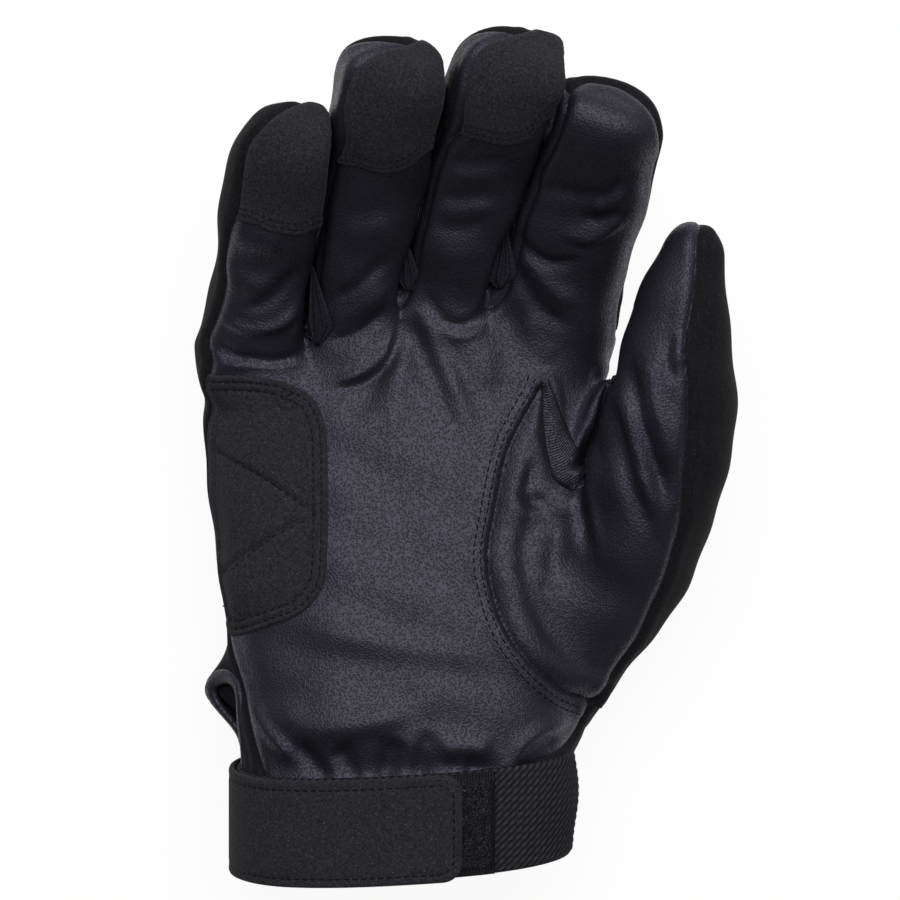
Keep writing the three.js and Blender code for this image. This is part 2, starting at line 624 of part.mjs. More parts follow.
// Cuff, hook and loop, and strap, each layer standing clear of the one below.
const middle = CUFF.middleHeight;
const palmSide = (left, right) => block([left, -REACH, middle + half], [right, REACH, REACH]);
const layer = (low, thickness, inset = 0) => {
  const outside = cuffSleeve(low + thickness, cuffBottom + inset, CUFF.top - inset);
  return outside.subtract(cuffSleeve(low, cuffBottom - CUFF.length, CUFF.top + CUFF.length));
};
const hookLevel = SEAM_GAP * 2 + STRAP.loopThickness;
const tabLevel = hookLevel + STRAP.hookThickness + SEAM_GAP;
piece("cuff_elastic", layer(-CUFF.thickness, CUFF.thickness)
  .subtract(ventSlot(0).intersect(block([-REACH, -REACH, -REACH], [0, REACH, REACH]))), ELASTIC);
piece("loop_patch", layer(SEAM_GAP, STRAP.loopThickness, STRAP.edgeInset)
  .intersect(palmSide(STRAP.loopStart, STRAP.loopEnd)), TAPE);
piece("hook_patch", layer(hookLevel, STRAP.hookThickness, STRAP.edgeInset)
  .intersect(palmSide(STRAP.hookStart, STRAP.hookEnd)), TAPE);
const cornerX = STRAP.tabEnd - STRAP.cornerRadius;
const tabTop = CUFF.top + tiltRate * cornerX - slantRate * (CUFF.halfDepth + tabLevel);
const tabShape = new THREE.Shape();
tabShape.moveTo(-REACH, -REACH);
tabShape.lineTo(STRAP.tabEnd, -REACH);
tabShape.lineTo(STRAP.tabEnd, tabTop - STRAP.cornerRadius);
tabShape.absarc(cornerX, tabTop - STRAP.cornerRadius, STRAP.cornerRadius, 0, Math.PI / 2);
tabShape.lineTo(cornerX, REACH);
tabShape.lineTo(-REACH, REACH);
const tabCut = new THREE.ExtrudeGeometry(tabShape, { depth: REACH, bevelEnabled: false, curveSegments: 6 });
tabCut.translate(0, 0, middle + half);
piece("strap_tab", layer(tabLevel, STRAP.thickness).intersect(solid(tabCut)), SUEDE);
piece("strap_anchor", layer(SEAM_GAP, tabLevel - SEAM_GAP + STRAP.thickness)
  .intersect(block([-REACH, -REACH, -REACH], [STRAP.anchorEnd, REACH, middle - half])), SUEDE);

export default group;
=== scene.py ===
import math

import bpy
import numpy as np
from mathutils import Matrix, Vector
from mathutils.bvhtree import BVHTree
from mathutils.kdtree import KDTree


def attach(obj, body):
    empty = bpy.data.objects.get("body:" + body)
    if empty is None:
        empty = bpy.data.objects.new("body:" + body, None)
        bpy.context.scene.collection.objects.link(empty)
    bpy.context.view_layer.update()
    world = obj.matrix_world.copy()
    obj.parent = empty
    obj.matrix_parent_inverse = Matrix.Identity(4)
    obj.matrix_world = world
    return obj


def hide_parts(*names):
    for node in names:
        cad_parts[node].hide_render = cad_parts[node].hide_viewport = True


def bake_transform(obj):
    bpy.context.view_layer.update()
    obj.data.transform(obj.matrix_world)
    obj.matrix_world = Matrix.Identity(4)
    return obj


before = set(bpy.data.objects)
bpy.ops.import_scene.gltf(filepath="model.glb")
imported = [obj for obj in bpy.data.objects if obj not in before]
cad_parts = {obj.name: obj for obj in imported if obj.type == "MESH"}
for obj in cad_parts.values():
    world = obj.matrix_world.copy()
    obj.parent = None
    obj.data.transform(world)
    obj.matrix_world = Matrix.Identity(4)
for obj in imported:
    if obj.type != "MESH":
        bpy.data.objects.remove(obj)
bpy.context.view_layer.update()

mm = 0.001
print("frame loaded:", len(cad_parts), "nodes")

# Sizes are in millimetres. Places called u, v are in a 900 wide picture seen from straight above the palm.
view = dict(scale=0.24, distance=800.0, planeHeight=35.0, centre=(10.8, 16.8), half=450.0)
viewPoint = np.array([*view["centre"], view["planeHeight"] + view["distance"]])


def toPicture(p):
    k = view["distance"] / (viewPoint[2] - p[:, 2]) / view["scale"]
    return view["half"] + (p[:, 0] - viewPoint[0]) * k, view["half"] - (p[:, 1] - viewPoint[1]) * k


def fromPicture(u, v):
    # a picture place on the plane where the picture has its scale
    return (view["centre"][0] + (u - view["half"]) * view["scale"],
            view["centre"][1] - (v - view["half"]) * view["scale"])


def unit(v):
    return v / np.linalg.norm(v, axis=1)[:, None]


def smoothStep(x, low, high):
    t = np.clip((x - low) / (high - low), 0, 1)
    return t * t * (3 - 2 * t)


def smoothMin(a, b, k):
    h = np.clip(0.5 + 0.5 * (b - a) / k, 0, 1)
    return b + (a - b) * h - k * h * (1 - h)


def smoothMax(a, b, k):
    return -smoothMin(-a, -b, k)


def roundLine(points, closed=False, steps=6):
    # smooth curve through a few points
    pts = np.asarray(points, float)
    n = len(pts)
    out = []
    for i in range(n if closed else n - 1):
        if closed:
            p0, p1, p2, p3 = (pts[(i + k) % n] for k in (-1, 0, 1, 2))
        else:
            p0, p1, p2, p3 = pts[max(i - 1, 0)], pts[i], pts[i + 1], pts[min(i + 2, n - 1)]
        for t in np.linspace(0, 1, steps, endpoint=False):
            out.append(0.5 * (2 * p1 + (p2 - p0) * t + (2 * p0 - 5 * p1 + 4 * p2 - p3) * t * t
                              + (3 * p1 - p0 - 3 * p2 + p3) * t ** 3))
    if not closed:
        out.append(pts[-1])
    return np.array(out)


def besideLine(q, line):
    # distance to a line, which side of it, and how far along it, from 0 to 1
    best = np.full(len(q), 1e9)
    side = np.zeros(len(q))
    along = np.zeros(len(q))
    lengths = np.linalg.norm(np.diff(line, axis=0), axis=1)
    start = np.concatenate([[0], np.cumsum(lengths)]) / max(lengths.sum(), 1e-9)
    for i in range(len(line) - 1):
        d = line[i + 1] - line[i]
        rel = q - line[i]
        t = np.clip((rel @ d) / max(d @ d, 1e-9), 0, 1)
        away = rel - t[:, None] * d
        dist = np.hypot(away[:, 0], away[:, 1])
        near = dist < best
        best[near] = dist[near]
        side[near] = np.sign(d[0] * rel[near, 1] - d[1] * rel[near, 0])
        along[near] = start[i] + t[near] * (start[i + 1] - start[i])
    return best, side, along


def insideOutline(q, outline):
    # distance to a closed outline, above zero inside it
    ring = np.vstack([outline, outline[:1]])
    dist = besideLine(q, ring)[0]
    odd = np.zeros(len(q), bool)
    for (x0, y0), (x1, y1) in zip(ring[:-1], ring[1:]):
        cross = (y0 > q[:, 1]) != (y1 > q[:, 1])
        odd ^= cross & (q[:, 0] < (x1 - x0) * (q[:, 1] - y0) / (y1 - y0 + 1e-12) + x0)
    return np.where(odd, dist, -dist)


def softTable(places, values, blur, step=0.5):
    # values along a line, eased at the stations
    t = np.arange(places[0], places[-1] + step / 2, step)
    v = np.interp(t, places, values)
    w = np.exp(-0.5 * (np.arange(-3 * blur, 3 * blur + step / 2, step) / blur) ** 2)
    pad = len(w) // 2
    return t, np.convolve(np.pad(v, pad, mode="edge"), w / w.sum(), mode="valid")


# the hand, from the wrist inside the cuff to the finger crotches
cuffForm = dict(halfWidth=41.2, halfDepth=22.8, middle=26.8, roundness=2.3, thickness=1.8, top=-57.5,
                length=24.5,
                slant=math.tan(math.radians(7)), tilt=math.tan(math.radians(3.2)))
handForm = dict(
    y=[-95, -67.5, -54.5, -40, -18, 8, 32, 48, 55],
    left=[-39.1, -39.1, -39.1, -41.5, -44.5, -47.7, -49.7, -48.5, -43],
    right=[39.1, 39.1, 39.1, 42.5, 45.5, 47.5, 49, 49.5, 45],
    back=[6.1, 6.1, 6.1, -1, -1.5, -1.5, -1.5, 1, 7],
    front=[47.5, 47.5, 47.5, 46, 43.5, 38.5, 34.5, 32, 27],
    lift=[1, 1, 1, 0.5, 0, 0, 0, 0, 0],
    roundness=2.5, endCap=6.0, blur=4.0, floorEase=3.0,
    crotchX=[-60, -38, -23, 0, 23, 45, 70], crotchY=[-14, -12, -9.5, 0.5, 2.5, -1, -4],
)
handTables = {k: softTable(handForm["y"], handForm[k], handForm["blur"])
              for k in ("left", "right", "back", "front", "lift")}


def handField(p):
    lift = np.interp(p[:, 1], *handTables["lift"])
    y = p[:, 1] + lift * (cuffForm["slant"] * (p[:, 2] - cuffForm["middle"]) - cuffForm["tilt"] * p[:, 0])
    y = y - np.interp(p[:, 0], handForm["crotchX"], handForm["crotchY"]) * smoothStep(p[:, 1], -5, 45)
    left, right, back, front = (np.interp(y, *handTables[k]) for k in ("left", "right", "back", "front"))
    e = handForm["roundness"]
    x = np.abs(2 * p[:, 0] - right - left) / (right - left)
    z = np.abs(2 * p[:, 2] - front - back) / (front - back)
    cap = np.clip((y - handForm["y"][-1]) / handForm["endCap"], 0, None)
    return (((x ** e + z ** e) ** (2 / e) + cap ** 2) ** 0.5 - 1) * (front - back) / 2


# the fingers
fingers = dict(
    little=dict(x=-35.5, y=42.0, lean=9.0, baseLength=30.0, tipLength=37.0, baseWidth=30.5, middleWidth=27.5,
                tipWidth=28.4, rootDepth=22.0, capLeft=38.0, capRight=12.0, tipShift=0.0),
    ring=dict(x=-12.7, y=49.9, lean=9.0, baseLength=34.0, tipLength=41.2, baseWidth=26.4, middleWidth=28.2,
              tipWidth=28.4, rootDepth=16.0, capLeft=24.0, capRight=12.0, tipShift=0.0),
    middle=dict(x=10.1, y=52.0, lean=14.0, baseLength=36.0, tipLength=40.3, baseWidth=27.0, middleWidth=28.2,
                tipWidth=32.4, rootDepth=16.0, capLeft=18.0, capRight=9.0, tipShift=3.8),
    index=dict(x=34.5, y=49.9, lean=15.7, baseLength=30.0, tipLength=35.0, baseWidth=31.0, middleWidth=31.0,
               tipWidth=29.4, rootDepth=16.0, capLeft=14.0, capRight=14.0, tipShift=0.0),
)
fingerForm = dict(rootLength=16.0, rootTilt=10.0, baseTilt=26.0, tipTilt=40.0, knuckleHeight=21.0,
                  rootWidth=21.0, baseDepth=25.0, tipDepth=23.0,
                  roundness=2.4, capRoundness=2.5, flexLean=12.0, rootCap=10.0, gap=0.55,
                  partY=(40.0, 50.0, 80.0, 105.0), partHeight=(20.0, 21.0, 35.0, 56.0),
                  partings=[(-25.3, 52.0, 9.8, 0.15), (-1.0, 64.0, 15.5, 0.24), (20.3, 64.0, 20.5, 0.28)])
fingerNames = list(fingers)


def fingerAxes(lean, tilt):
    l, t = math.radians(lean), math.radians(tilt)
    across = np.array([math.cos(l), -math.sin(l), 0])
    along = np.array([math.sin(l) * math.cos(t), math.cos(l) * math.cos(t), math.sin(t)])
    return across, along, np.cross(across, along)


def centreLine(stations, blur):
    s = np.concatenate([[0], np.cumsum(np.linalg.norm(np.diff(stations, axis=0), axis=1))])
    line = np.stack([softTable(s, stations[:, k], blur, 1.0)[1] for k in range(3)], 1)
    tangent = np.gradient(line, axis=0)
    return s, np.arange(len(line)) * 1.0, line, unit(tangent)


for f in fingers.values():
    knuckle = np.array([f["x"], f["y"], fingerForm["knuckleHeight"]])
    joint = knuckle + fingerAxes(f["lean"], fingerForm["baseTilt"])[1] * f["baseLength"]
    tip = joint + fingerAxes(f["lean"], fingerForm["tipTilt"])[1] * f["tipLength"]
    root = knuckle - fingerAxes(f["lean"], fingerForm["rootTilt"])[1] * fingerForm["rootLength"]
    s, places, f["line"], f["tangent"] = centreLine(np.array([root, knuckle, joint, tip]), 4.0)
    f["places"] = places - s[1]
    f["across"] = fingerAxes(f["lean"], 0)[0]
    f["normal"] = np.cross(f["across"], f["tangent"])
    f["length"] = f["baseLength"] + f["tipLength"]
    stops = [-fingerForm["rootLength"], 0, f["baseLength"] / 2, f["baseLength"],
             f["baseLength"] + f["tipLength"] / 2, f["length"]]
    widths = [fingerForm["rootWidth"] / 2, f["baseWidth"] / 2, f["middleWidth"] / 2, f["middleWidth"] / 2,
              f["tipWidth"] / 2, f["tipWidth"] / 2]
    depths = [f["rootDepth"] / 2, *[fingerForm["baseDepth"] / 2] * 3, *[fingerForm["tipDepth"] / 2] * 2]
    f["width"] = softTable(stops, widths, 4.0)
    f["depth"] = softTable(stops, depths, 4.0)


def besideCentre(p, line, tangent, places):
    # place along a centre line and what is left over
    best = np.full(len(p), 1e18)
    pick = np.zeros(len(p), int)
    for i in range(0, len(line), 3):
        d = ((p - line[i]) ** 2).sum(1)
        near = d < best
        best[near] = d[near]
        pick[near] = i
    at = pick.astype(float)
    steps = np.arange(len(line))
    spare = np.zeros(len(p))
    for _ in range(4):
        at = np.clip(at + spare, 0, steps[-1])
        centre, way = (np.stack([np.interp(at, steps, k[:, c]) for c in range(3)], 1)
                       for k in (line, tangent))
        rel = p - centre
        spare = (rel * way).sum(1)
    return places[0] + at + spare, rel, way


def fingerPlace(p, f):
    # along the finger, across it and out of its front
    s, rel, way = besideCentre(p, f["line"], f["tangent"], f["places"])
    shift = f["tipShift"] * smoothStep(s, f["length"] - 35, f["length"])
    return s, rel @ f["across"] - shift, (rel * np.cross(f["across"], way)).sum(1)


def fingerField(p, f):
    s, x, n = fingerPlace(p, f)
    a, b = np.interp(s, *f["width"]), np.interp(s, *f["depth"])
    e = fingerForm["roundness"]
    reach = f["capLeft"] + (f["capRight"] - f["capLeft"]) * smoothStep(x / a, -0.7, 0.7)
    cap = np.clip((s - f["length"]) / reach + 1, 0, None)
    rootCap = fingerForm["rootCap"]
    cap = cap + np.clip((rootCap - fingerForm["rootLength"] - s) / rootCap, 0, None)
    c = fingerForm["capRoundness"]
    return (((np.abs(x / a) ** e + np.abs(n / b) ** e) ** (c / e) + cap ** c) ** (1 / c) - 1) * b


def partingSide(p, i):
    # distance past the parting between two fingers
    x, y, lean, tilt = fingerForm["partings"][i]
    height = np.interp(p[:, 1], fingerForm["partY"], fingerForm["partHeight"])
    return (p - np.array([x, y, 0])) @ fingerAxes(lean, 0)[0] - tilt * (p[:, 2] - height)


def laneField(p, i):
    d = np.full(len(p), -1e3)
    if i > 0:
        d = np.maximum(d, fingerForm["gap"] - partingSide(p, i - 1))
    if i < 3:
        d = np.maximum(d, fingerForm["gap"] + partingSide(p, i))
    return d


# the thumb, parted from the palm by a slot under its inner edge
thumbForm = dict(
    x=[35.5, 38, 44.5, 54, 60.2, 63.3, 64.8, 66.3, 68.2, 69.6],
    y=[-50, -43, -28.8, -9.6, 9.6, 28.8, 43.2, 54.5, 63.5, 72.2],
    z=[23, 21, 22.5, 27, 33, 39, 42, 43.8, 44.8, 45.4],
    radius=[5.5, 9.0, 12.9, 16.4, 16.8, 16.2, 13.2, 10.3, 7.3, 5.0],
    capLength=8.0, rootCap=4.0, rootEase=8.0, thickest=14.0, hingeStation=4, roll=45.0, ease=9.0,
    slotX=[15.8, 41, 50, 50.6, 53, 58.8, 80, 100], slotY=[-60, 10, 35, 42, 52, 70, 85, 120],
    slotSpread=0.95, slotHeight=40.0, slotLean=0.25, slotEase=1.8,
    slotBottom=13.0, slotTop=50.0, slotFloor=20.0, slotOpen=35.0, slotOpening=(2.0, 3.0),
    slotGap=(0.6, 1.3), slotWiden=(34.0, 42.0), notch=0.42, notchFrom=27.0, notchDepth=12.0,
)
thumbPoints = np.stack([thumbForm[k] for k in "xyz"], 1).astype(float)
thumbS, thumbPlaces, thumbLine, thumbTangent = centreLine(thumbPoints, 5.0)
thumbRadius = softTable(thumbS, thumbForm["radius"], 4.0)


def thumbAxes(k, roll):
    along = thumbPoints[k + 1] - thumbPoints[k - 1]
    along /= np.linalg.norm(along)
    facing = np.array([-math.sin(math.radians(roll)), 0, math.cos(math.radians(roll))])
    across = np.cross(along, facing)
    across /= np.linalg.norm(across)
    return across, np.cross(across, along)


thumbAcross, thumbFacing = thumbAxes(thumbForm["hingeStation"], thumbForm["roll"])
thumbHingeS = thumbS[thumbForm["hingeStation"]]


def thumbField(p):
    s, rel, way = besideCentre(p, thumbLine, thumbTangent, thumbPlaces)
    r = np.interp(s, *thumbRadius)
    away = rel - way * (rel * way).sum(1)[:, None]
    cap = np.clip((s - thumbS[-1] + thumbForm["capLength"]) / thumbForm["capLength"], 0, None)
    cap = cap + np.clip((thumbForm["rootCap"] - s) / thumbForm["rootEase"], 0, None)
    return (((away ** 2).sum(1) / r ** 2 + cap ** 2) ** 0.5 - 1) * np.minimum(r, thumbForm["thickest"])


def slotSide(p):
    side = thumbForm["slotSpread"] * (p[:, 0] - np.interp(p[:, 1], thumbForm["slotY"], thumbForm["slotX"]))
    return side + thumbForm["slotLean"] * (p[:, 2] - thumbForm["slotHeight"])


# one skin over hand, thumb and fingers, meshed on a grid turned with the fingers
skinGrid = dict(step=0.8, low=(-62, -82, -3), high=(84, 122, 75), block=5, reach=6.5, fingerEase=6.0,
                laneEase=2.0, floor=0.05)
gridAxes = np.array([*fingerAxes(fingerForm["flexLean"], 0)[:2], [0, 0, 1]])


def skinField(p):
    body = smoothMin(handField(p), thumbField(p), thumbForm["ease"])
    slot = np.minimum(p[:, 1] - thumbForm["slotBottom"], thumbForm["slotTop"] - p[:, 1])
    slope, ease = thumbForm["slotOpening"]
    above = smoothMax(p[:, 2] - thumbForm["slotFloor"], (p[:, 1] - thumbForm["slotOpen"]) * slope, ease)
    slot = np.minimum(slot, above)
    gap = np.interp(p[:, 1], thumbForm["slotWiden"], thumbForm["slotGap"])
    side = slotSide(p)
    notch = thumbForm["notch"] * np.clip(p[:, 2] - thumbForm["notchFrom"], 0, thumbForm["notchDepth"])
    slot = np.minimum(gap + np.where(side < 0, notch, 0) - np.abs(side), slot)
    tips = np.full(len(p), 1e3)
    for i, f in enumerate(fingers.values()):
        near = (p[:, 1] > f["y"] - 30) & (np.abs(p[:, 0] - f["x"] - 8) < 36)
        if near.any():
            d = smoothMax(fingerField(p[near], f), laneField(p[near], i), skinGrid["laneEase"])
            tips[near] = np.minimum(tips[near], d)
    body = smoothMin(body, tips, skinGrid["fingerEase"])
    body = smoothMax(body, slot, thumbForm["slotEase"])
    return smoothMax(body, -p[:, 2], handForm["floorEase"])


def gridField():
    step, block = skinGrid["step"], skinGrid["block"]
    low = np.array(skinGrid["low"], float)
    count = (np.ceil((np.array(skinGrid["high"]) - low) / step / block)).astype(int)
    rough = np.stack(np.meshgrid(*[np.arange(c) for c in count], indexing="ij"), -1).reshape(-1, 3)
    middle = low + (rough + 0.5) * block * step
    value = skinField(middle @ gridAxes)
    out = np.repeat(np.where(value < 0, -9.0, 9.0).reshape(count), block, 0).repeat(block, 1).repeat(block, 2)
    live = np.abs(value) < skinGrid["reach"]
    inner = np.stack(np.meshgrid(*[np.arange(block)] * 3, indexing="ij"), -1).reshape(-1, 3)
    at = (rough[live][:, None] * block + inner[None]).reshape(-1, 3)
    out[tuple(at.T)] = skinField((low + at * step) @ gridAxes)
    return out


def surfaceNets(field):
    inside = field < 0
    corners = [(i, j, k) for i in (0, 1) for j in (0, 1) for k in (0, 1)]
    n = np.array(field.shape) - 1
    count = sum(inside[i:n[0] + i, j:n[1] + j, k:n[2] + k].astype(np.int8) for i, j, k in corners)
    active = (count > 0) & (count < 8)
    ids = np.full(active.shape, -1)
    ids[active] = np.arange(active.sum())
    cells = np.argwhere(active)
    value = {c: field[tuple((cells + c).T)] for c in corners}
    total = np.zeros((len(cells), 3))
    hits = np.zeros(len(cells))
    for a in corners:
        for axis in range(3):
            if a[axis]:
                continue
            b = tuple(v + (k == axis) for k, v in enumerate(a))
            cross = (value[a] < 0) != (value[b] < 0)
            t = value[a][cross] / (value[a][cross] - value[b][cross])
            place = np.tile(np.array(a, float), (cross.sum(), 1))
            place[:, axis] += t
            total[cross] += place
            hits[cross] += 1
    points = np.array(skinGrid["low"]) + skinGrid["step"] * (cells + total / hits[:, None])
    quads = []
    for axis in range(3):
        u, v = (axis + 1) % 3, (axis + 2) % 3
        near, far = [slice(1, -1)] * 3, [slice(1, -1)] * 3
        near[axis], far[axis] = slice(0, -1), slice(1, None)
        a, b = inside[tuple(near)], inside[tuple(far)]
        for flip, mask in ((False, a & ~b), (True, ~a & b)):
            at = np.argwhere(mask)
            at[:, u] += 1
            at[:, v] += 1
            ring = []
            for du, dv in ((-1, -1), (0, -1), (0, 0), (-1, 0)):
                c = at.copy()
                c[:, u] += du
                c[:, v] += dv
                ring.append(ids[tuple(c.T)])
            q = np.stack(ring, 1)
            quads.append(q[:, ::-1] if flip else q)
    return points @ gridAxes, np.concatenate(quads)


def gradientOf(p, value, h=0.1):
    return np.stack([(skinField(p + h * np.eye(3)[k]) - value) / h for k in range(3)], 1)


def pointNormals(v, tris):
    flat = np.cross(v[tris[:, 1]] - v[tris[:, 0]], v[tris[:, 2]] - v[tris[:, 0]])
    n = np.stack([sum(np.bincount(tris[:, k], weights=flat[:, c], minlength=len(v)) for k in range(3))
                  for c in range(3)], 1)
    return n / np.maximum(np.linalg.norm(n, axis=1), 1e-12)[:, None]


skinPoints, skinQuads = surfaceNets(gridField())
for _ in range(2):
    value = skinField(skinPoints)
    slope = gradientOf(skinPoints, value)
    skinPoints -= np.clip(slope * (value / np.maximum((slope ** 2).sum(1), 0.1))[:, None], -0.4, 0.4)
skinTris = np.concatenate([skinQuads[:, [0, 1, 2]], skinQuads[:, [0, 2, 3]]])
print("skin:", len(skinPoints), "points,", len(skinTris), "faces")

# every point of the skin carries its place in the picture, in each finger and in the thumb
columns = {}


def addColumns(table, names, values):
    for name in names:
        columns[name] = table.shape[1] + names.index(name)
    return np.column_stack([table, *values])


def measureSkin(points, normals):
    table = np.column_stack([points, normals])
    columns.update(x=0, y=1, z=2, nx=3, ny=4, nz=5)
    table = addColumns(table, ["u", "v"], toPicture(points))
    for name, f in fingers.items():
        s, x, n = (np.full(len(points), v) for v in (-99.0, 0.0, 0.0))
        near = points[:, 1] > f["y"] - 20
        s[near], x[near], n[near] = fingerPlace(points[near], f)
        a = np.interp(s, *f["width"])
        table = addColumns(table, [name + k for k in ("S", "X", "N")], [s, x / a, n])
    for i in range(3):
        table = addColumns(table, ["part" + str(i)], [partingSide(points, i)])
    s, rel, _ = besideCentre(points, thumbLine, thumbTangent, thumbPlaces)
    front = rel @ thumbFacing / np.interp(s, *thumbRadius)
    return addColumns(table, ["thumbS", "thumbX", "thumbN", "slot"],
                      [s, rel @ thumbAcross, front, slotSide(points)])


def col(table, name):
    return table[:, columns[name]]


def pictureOf(table):
    return np.column_stack([col(table, "u"), col(table, "v")])


def cutAlong(table, tris, values, mask):
    # cut the masked faces along the zero line of values
    up = values[tris] > 0
    count = up.sum(1)
    cut = mask & (count > 0) & (count < 3)
    part = tris[cut]
    lone = np.where(count[cut] == 1, up[cut].argmax(1), up[cut].argmin(1))
    rows = np.arange(len(part))
    a, b, c = (part[rows, (lone + k) % 3] for k in range(3))
    ends = np.sort(np.column_stack([np.concatenate([a, a]), np.concatenate([b, c])]), axis=1)
    keys, back = np.unique(ends[:, 0] * len(table) + ends[:, 1], return_inverse=True)
    p, q = keys // len(table), keys % len(table)
    t = np.clip(values[p] / (values[p] - values[q]), 0.03, 0.97)[:, None]
    ab, ac = len(table) + back[:len(part)], len(table) + back[len(part):]
    fresh = [np.column_stack(k) for k in ((a, ab, ac), (ab, b, c), (ab, c, ac))]
    return np.vstack([table, table[p] * (1 - t) + table[q] * t]), np.vstack([tris[~cut], *fresh])


def middles(table, tris, name):
    return table[tris, columns[name]].mean(1)


# where the panels meet
seams = dict(
    leftSide=dict(y=(-70, -61, -50, -43, -36, -29, -21, -10, 5, 19, 31, 37, 44, 48),
                  z=(42, 39.4, 36.5, 34.5, 31.8, 28.7, 26.5, 25, 23.6, 23, 26, 29.4, 30.4, 32)),
    littleSide=dict(s=(-5, 3, 8, 19, 25, 33, 41, 54, 60, 63, 66),
                    n=(10, 8.3, 8.9, 10.5, 9.3, 10, 10.5, 9.8, 7.6, 3, -3)),
    rightSide=[(594, 690), (590, 703), (578, 728), (560, 750), (532, 766), (500, 790), (495, 900)],
    thumbOuter=[(704, 215), (697, 240), (696, 272), (690, 317), (684, 348), (688, 383), (688, 428),
                (684, 480),
                (679, 532), (667, 574), (648, 615), (620, 664), (590, 705), (570, 735)],
    thumbPanel=[(606, 712), (589, 701), (561, 691), (530, 664), (506, 629), (492, 587), (488, 553),
                (494, 515),
                (506, 456), (520, 424), (536, 396), (541, 384), (546, 412), (549, 443), (557, 473),
                (572, 487),
                (584, 470), (596, 420), (607, 385), (612, 368), (613.5, 346), (619, 322), (625.5, 300),
                (633, 276),
                (639, 250), (645, 230), (652, 200)],
    thumbCorners=[(660, 170), (800, 150), (800, 712)],
    patches=dict(little=[(150, 205), (242, 220), (272, 231), (301, 235), (318, 227), (420, 190)],
                 ring=[(300, 160), (350, 166), (380, 174), (406, 168), (432, 148), (520, 90)],
                 middle=[(420, 128), (464, 136), (500, 144), (528, 139), (545, 121), (620, 60)]),
    frontLeft=dict(ring=10.6, middle=10.4, index=10.0), frontRight=0.8,
    sideEnd=dict(little=(-18, -5), ring=(4, 12), middle=(-1, 7), index=(-6, 2)),
    tips=dict(
        little=[(238, 250), (240, 216), (240, 197), (243, 172), (249, 147), (259, 132), (274, 118),
                (296, 107),
                (322, 100), (380, 100), (380, 250)],
        ring=[(352, 250), (351, 190), (349, 169), (345, 130), (344, 108), (347, 90), (357, 69), (377, 54),
              (409, 45), (430, 37), (490, 37), (490, 250)],
        middle=[(440, 250), (442, 178), (450, 157), (462, 132), (465, 104), (467, 72), (477, 54), (490, 44),
                (506, 37), (521, 33), (540, 28), (556, 18), (620, 18), (620, 250)],
        index=[(508, 250), (515, 210), (531, 182), (549, 154), (565, 113), (570, 94), (581, 84), (593, 82),
               (621, 88), (643, 101), (655, 116), (660, 135), (661, 150), (700, 180), (700, 250)]),
    backSide=-3.5, innerThumb=-0.15,
    pad=[(150, 372), (211, 375), (250, 376), (282, 381), (310, 395), (322, 415), (327, 440), (328, 500),
         (327, 560),
         (322, 588), (302, 613), (270, 626), (239, 636), (229, 632), (222, 620), (150, 620)],
    fingerStart=0.0, basePart=0.68, smallest=300, wristEnd=-66.0,
    vent=dict(middle=27.2, halfWidth=4.6, top=-37.6, taperY=(-60, -43), taperWidth=(2.6, 4.6)),
)


def leftSideOf(table):
    # height above the seam along the little finger's side of the hand
    level = roundLine(np.column_stack([seams["leftSide"][k] for k in "yz"]))
    return col(table, "z") - np.interp(col(table, "y"), level[:, 0], level[:, 1])


def rightSideOf(table):
    dist, side, _ = besideLine(pictureOf(table), roundLine(seams["rightSide"]))
    return np.minimum(dist * side * view["scale"], col(table, "nz") * 30)


def thumbFrontOf(table):
    dist, side, _ = besideLine(pictureOf(table), roundLine(seams["thumbOuter"]))
    outer = np.minimum(dist * side * view["scale"], col(table, "nz") * 30)
    inner = (col(table, "thumbN") - seams["innerThumb"]) * 14
    return np.where(col(table, "thumbX") > 0, outer, inner)


def thumbPanelOf(table):
    outline = np.vstack([roundLine(seams["thumbPanel"], steps=5), seams["thumbCorners"]])
    return insideOutline(pictureOf(table), outline) * view["scale"]


def fingerFrontOf(table, name):
    s, x, n = (col(table, name + k) for k in "SXN")
    f = fingers[name]
    if name == "little":
        level = roundLine(np.column_stack([seams["littleSide"][k] for k in "sn"]))
        left = np.interp(s, level[:, 0], level[:, 1])
    else:
        left = seams["frontLeft"][name]
    level = n - (left + (seams["frontRight"] - left) * smoothStep(x, -0.95, 0.95))
    line, corners = seams["tips"][name][:-2], seams["tips"][name][-2:]
    inside = insideOutline(pictureOf(table), np.vstack([roundLine(line), corners])) * view["scale"]
    inside = np.minimum(inside, (col(table, "nz") - 0.06) * 20)
    ease = smoothStep(s, f["length"] - 30, f["length"] - 20)
    return level * (1 - ease) + inside * ease


def fingerSidesOf(table, name):
    # above zero on the side strips, below it on the back
    s, x, n = (col(table, name + k) for k in "SXN")
    f = fingers[name]
    start, end = seams["sideEnd"][name]
    ease = smoothStep(s, f["length"] + start, f["length"] + end)
    level = seams["backSide"] + 16 * ease
    bare = x < 0 if name == "little" else x > 0 if name == "index" else np.zeros(len(x), bool)
    return np.where(bare, -20 - n, n - level)


def patchOf(table, name):
    u, v = col(table, "u"), col(table, "v")
    edge = roundLine(seams["patches"][name], steps=8)
    return (np.interp(u, edge[:, 0], edge[:, 1]) - v) * view["scale"]


def padOf(table):
    return insideOutline(pictureOf(table), roundLine(seams["pad"], closed=True, steps=4)) * view["scale"]


def ventOf(table):
    vent = seams["vent"]
    y = col(table, "y")
    away = np.hypot(col(table, "z") - vent["middle"], np.maximum(y - (vent["top"] - vent["halfWidth"]), 0))
    return np.where(col(table, "x") < 0, np.interp(y, vent["taperY"], vent["taperWidth"]) - away, -5.0)


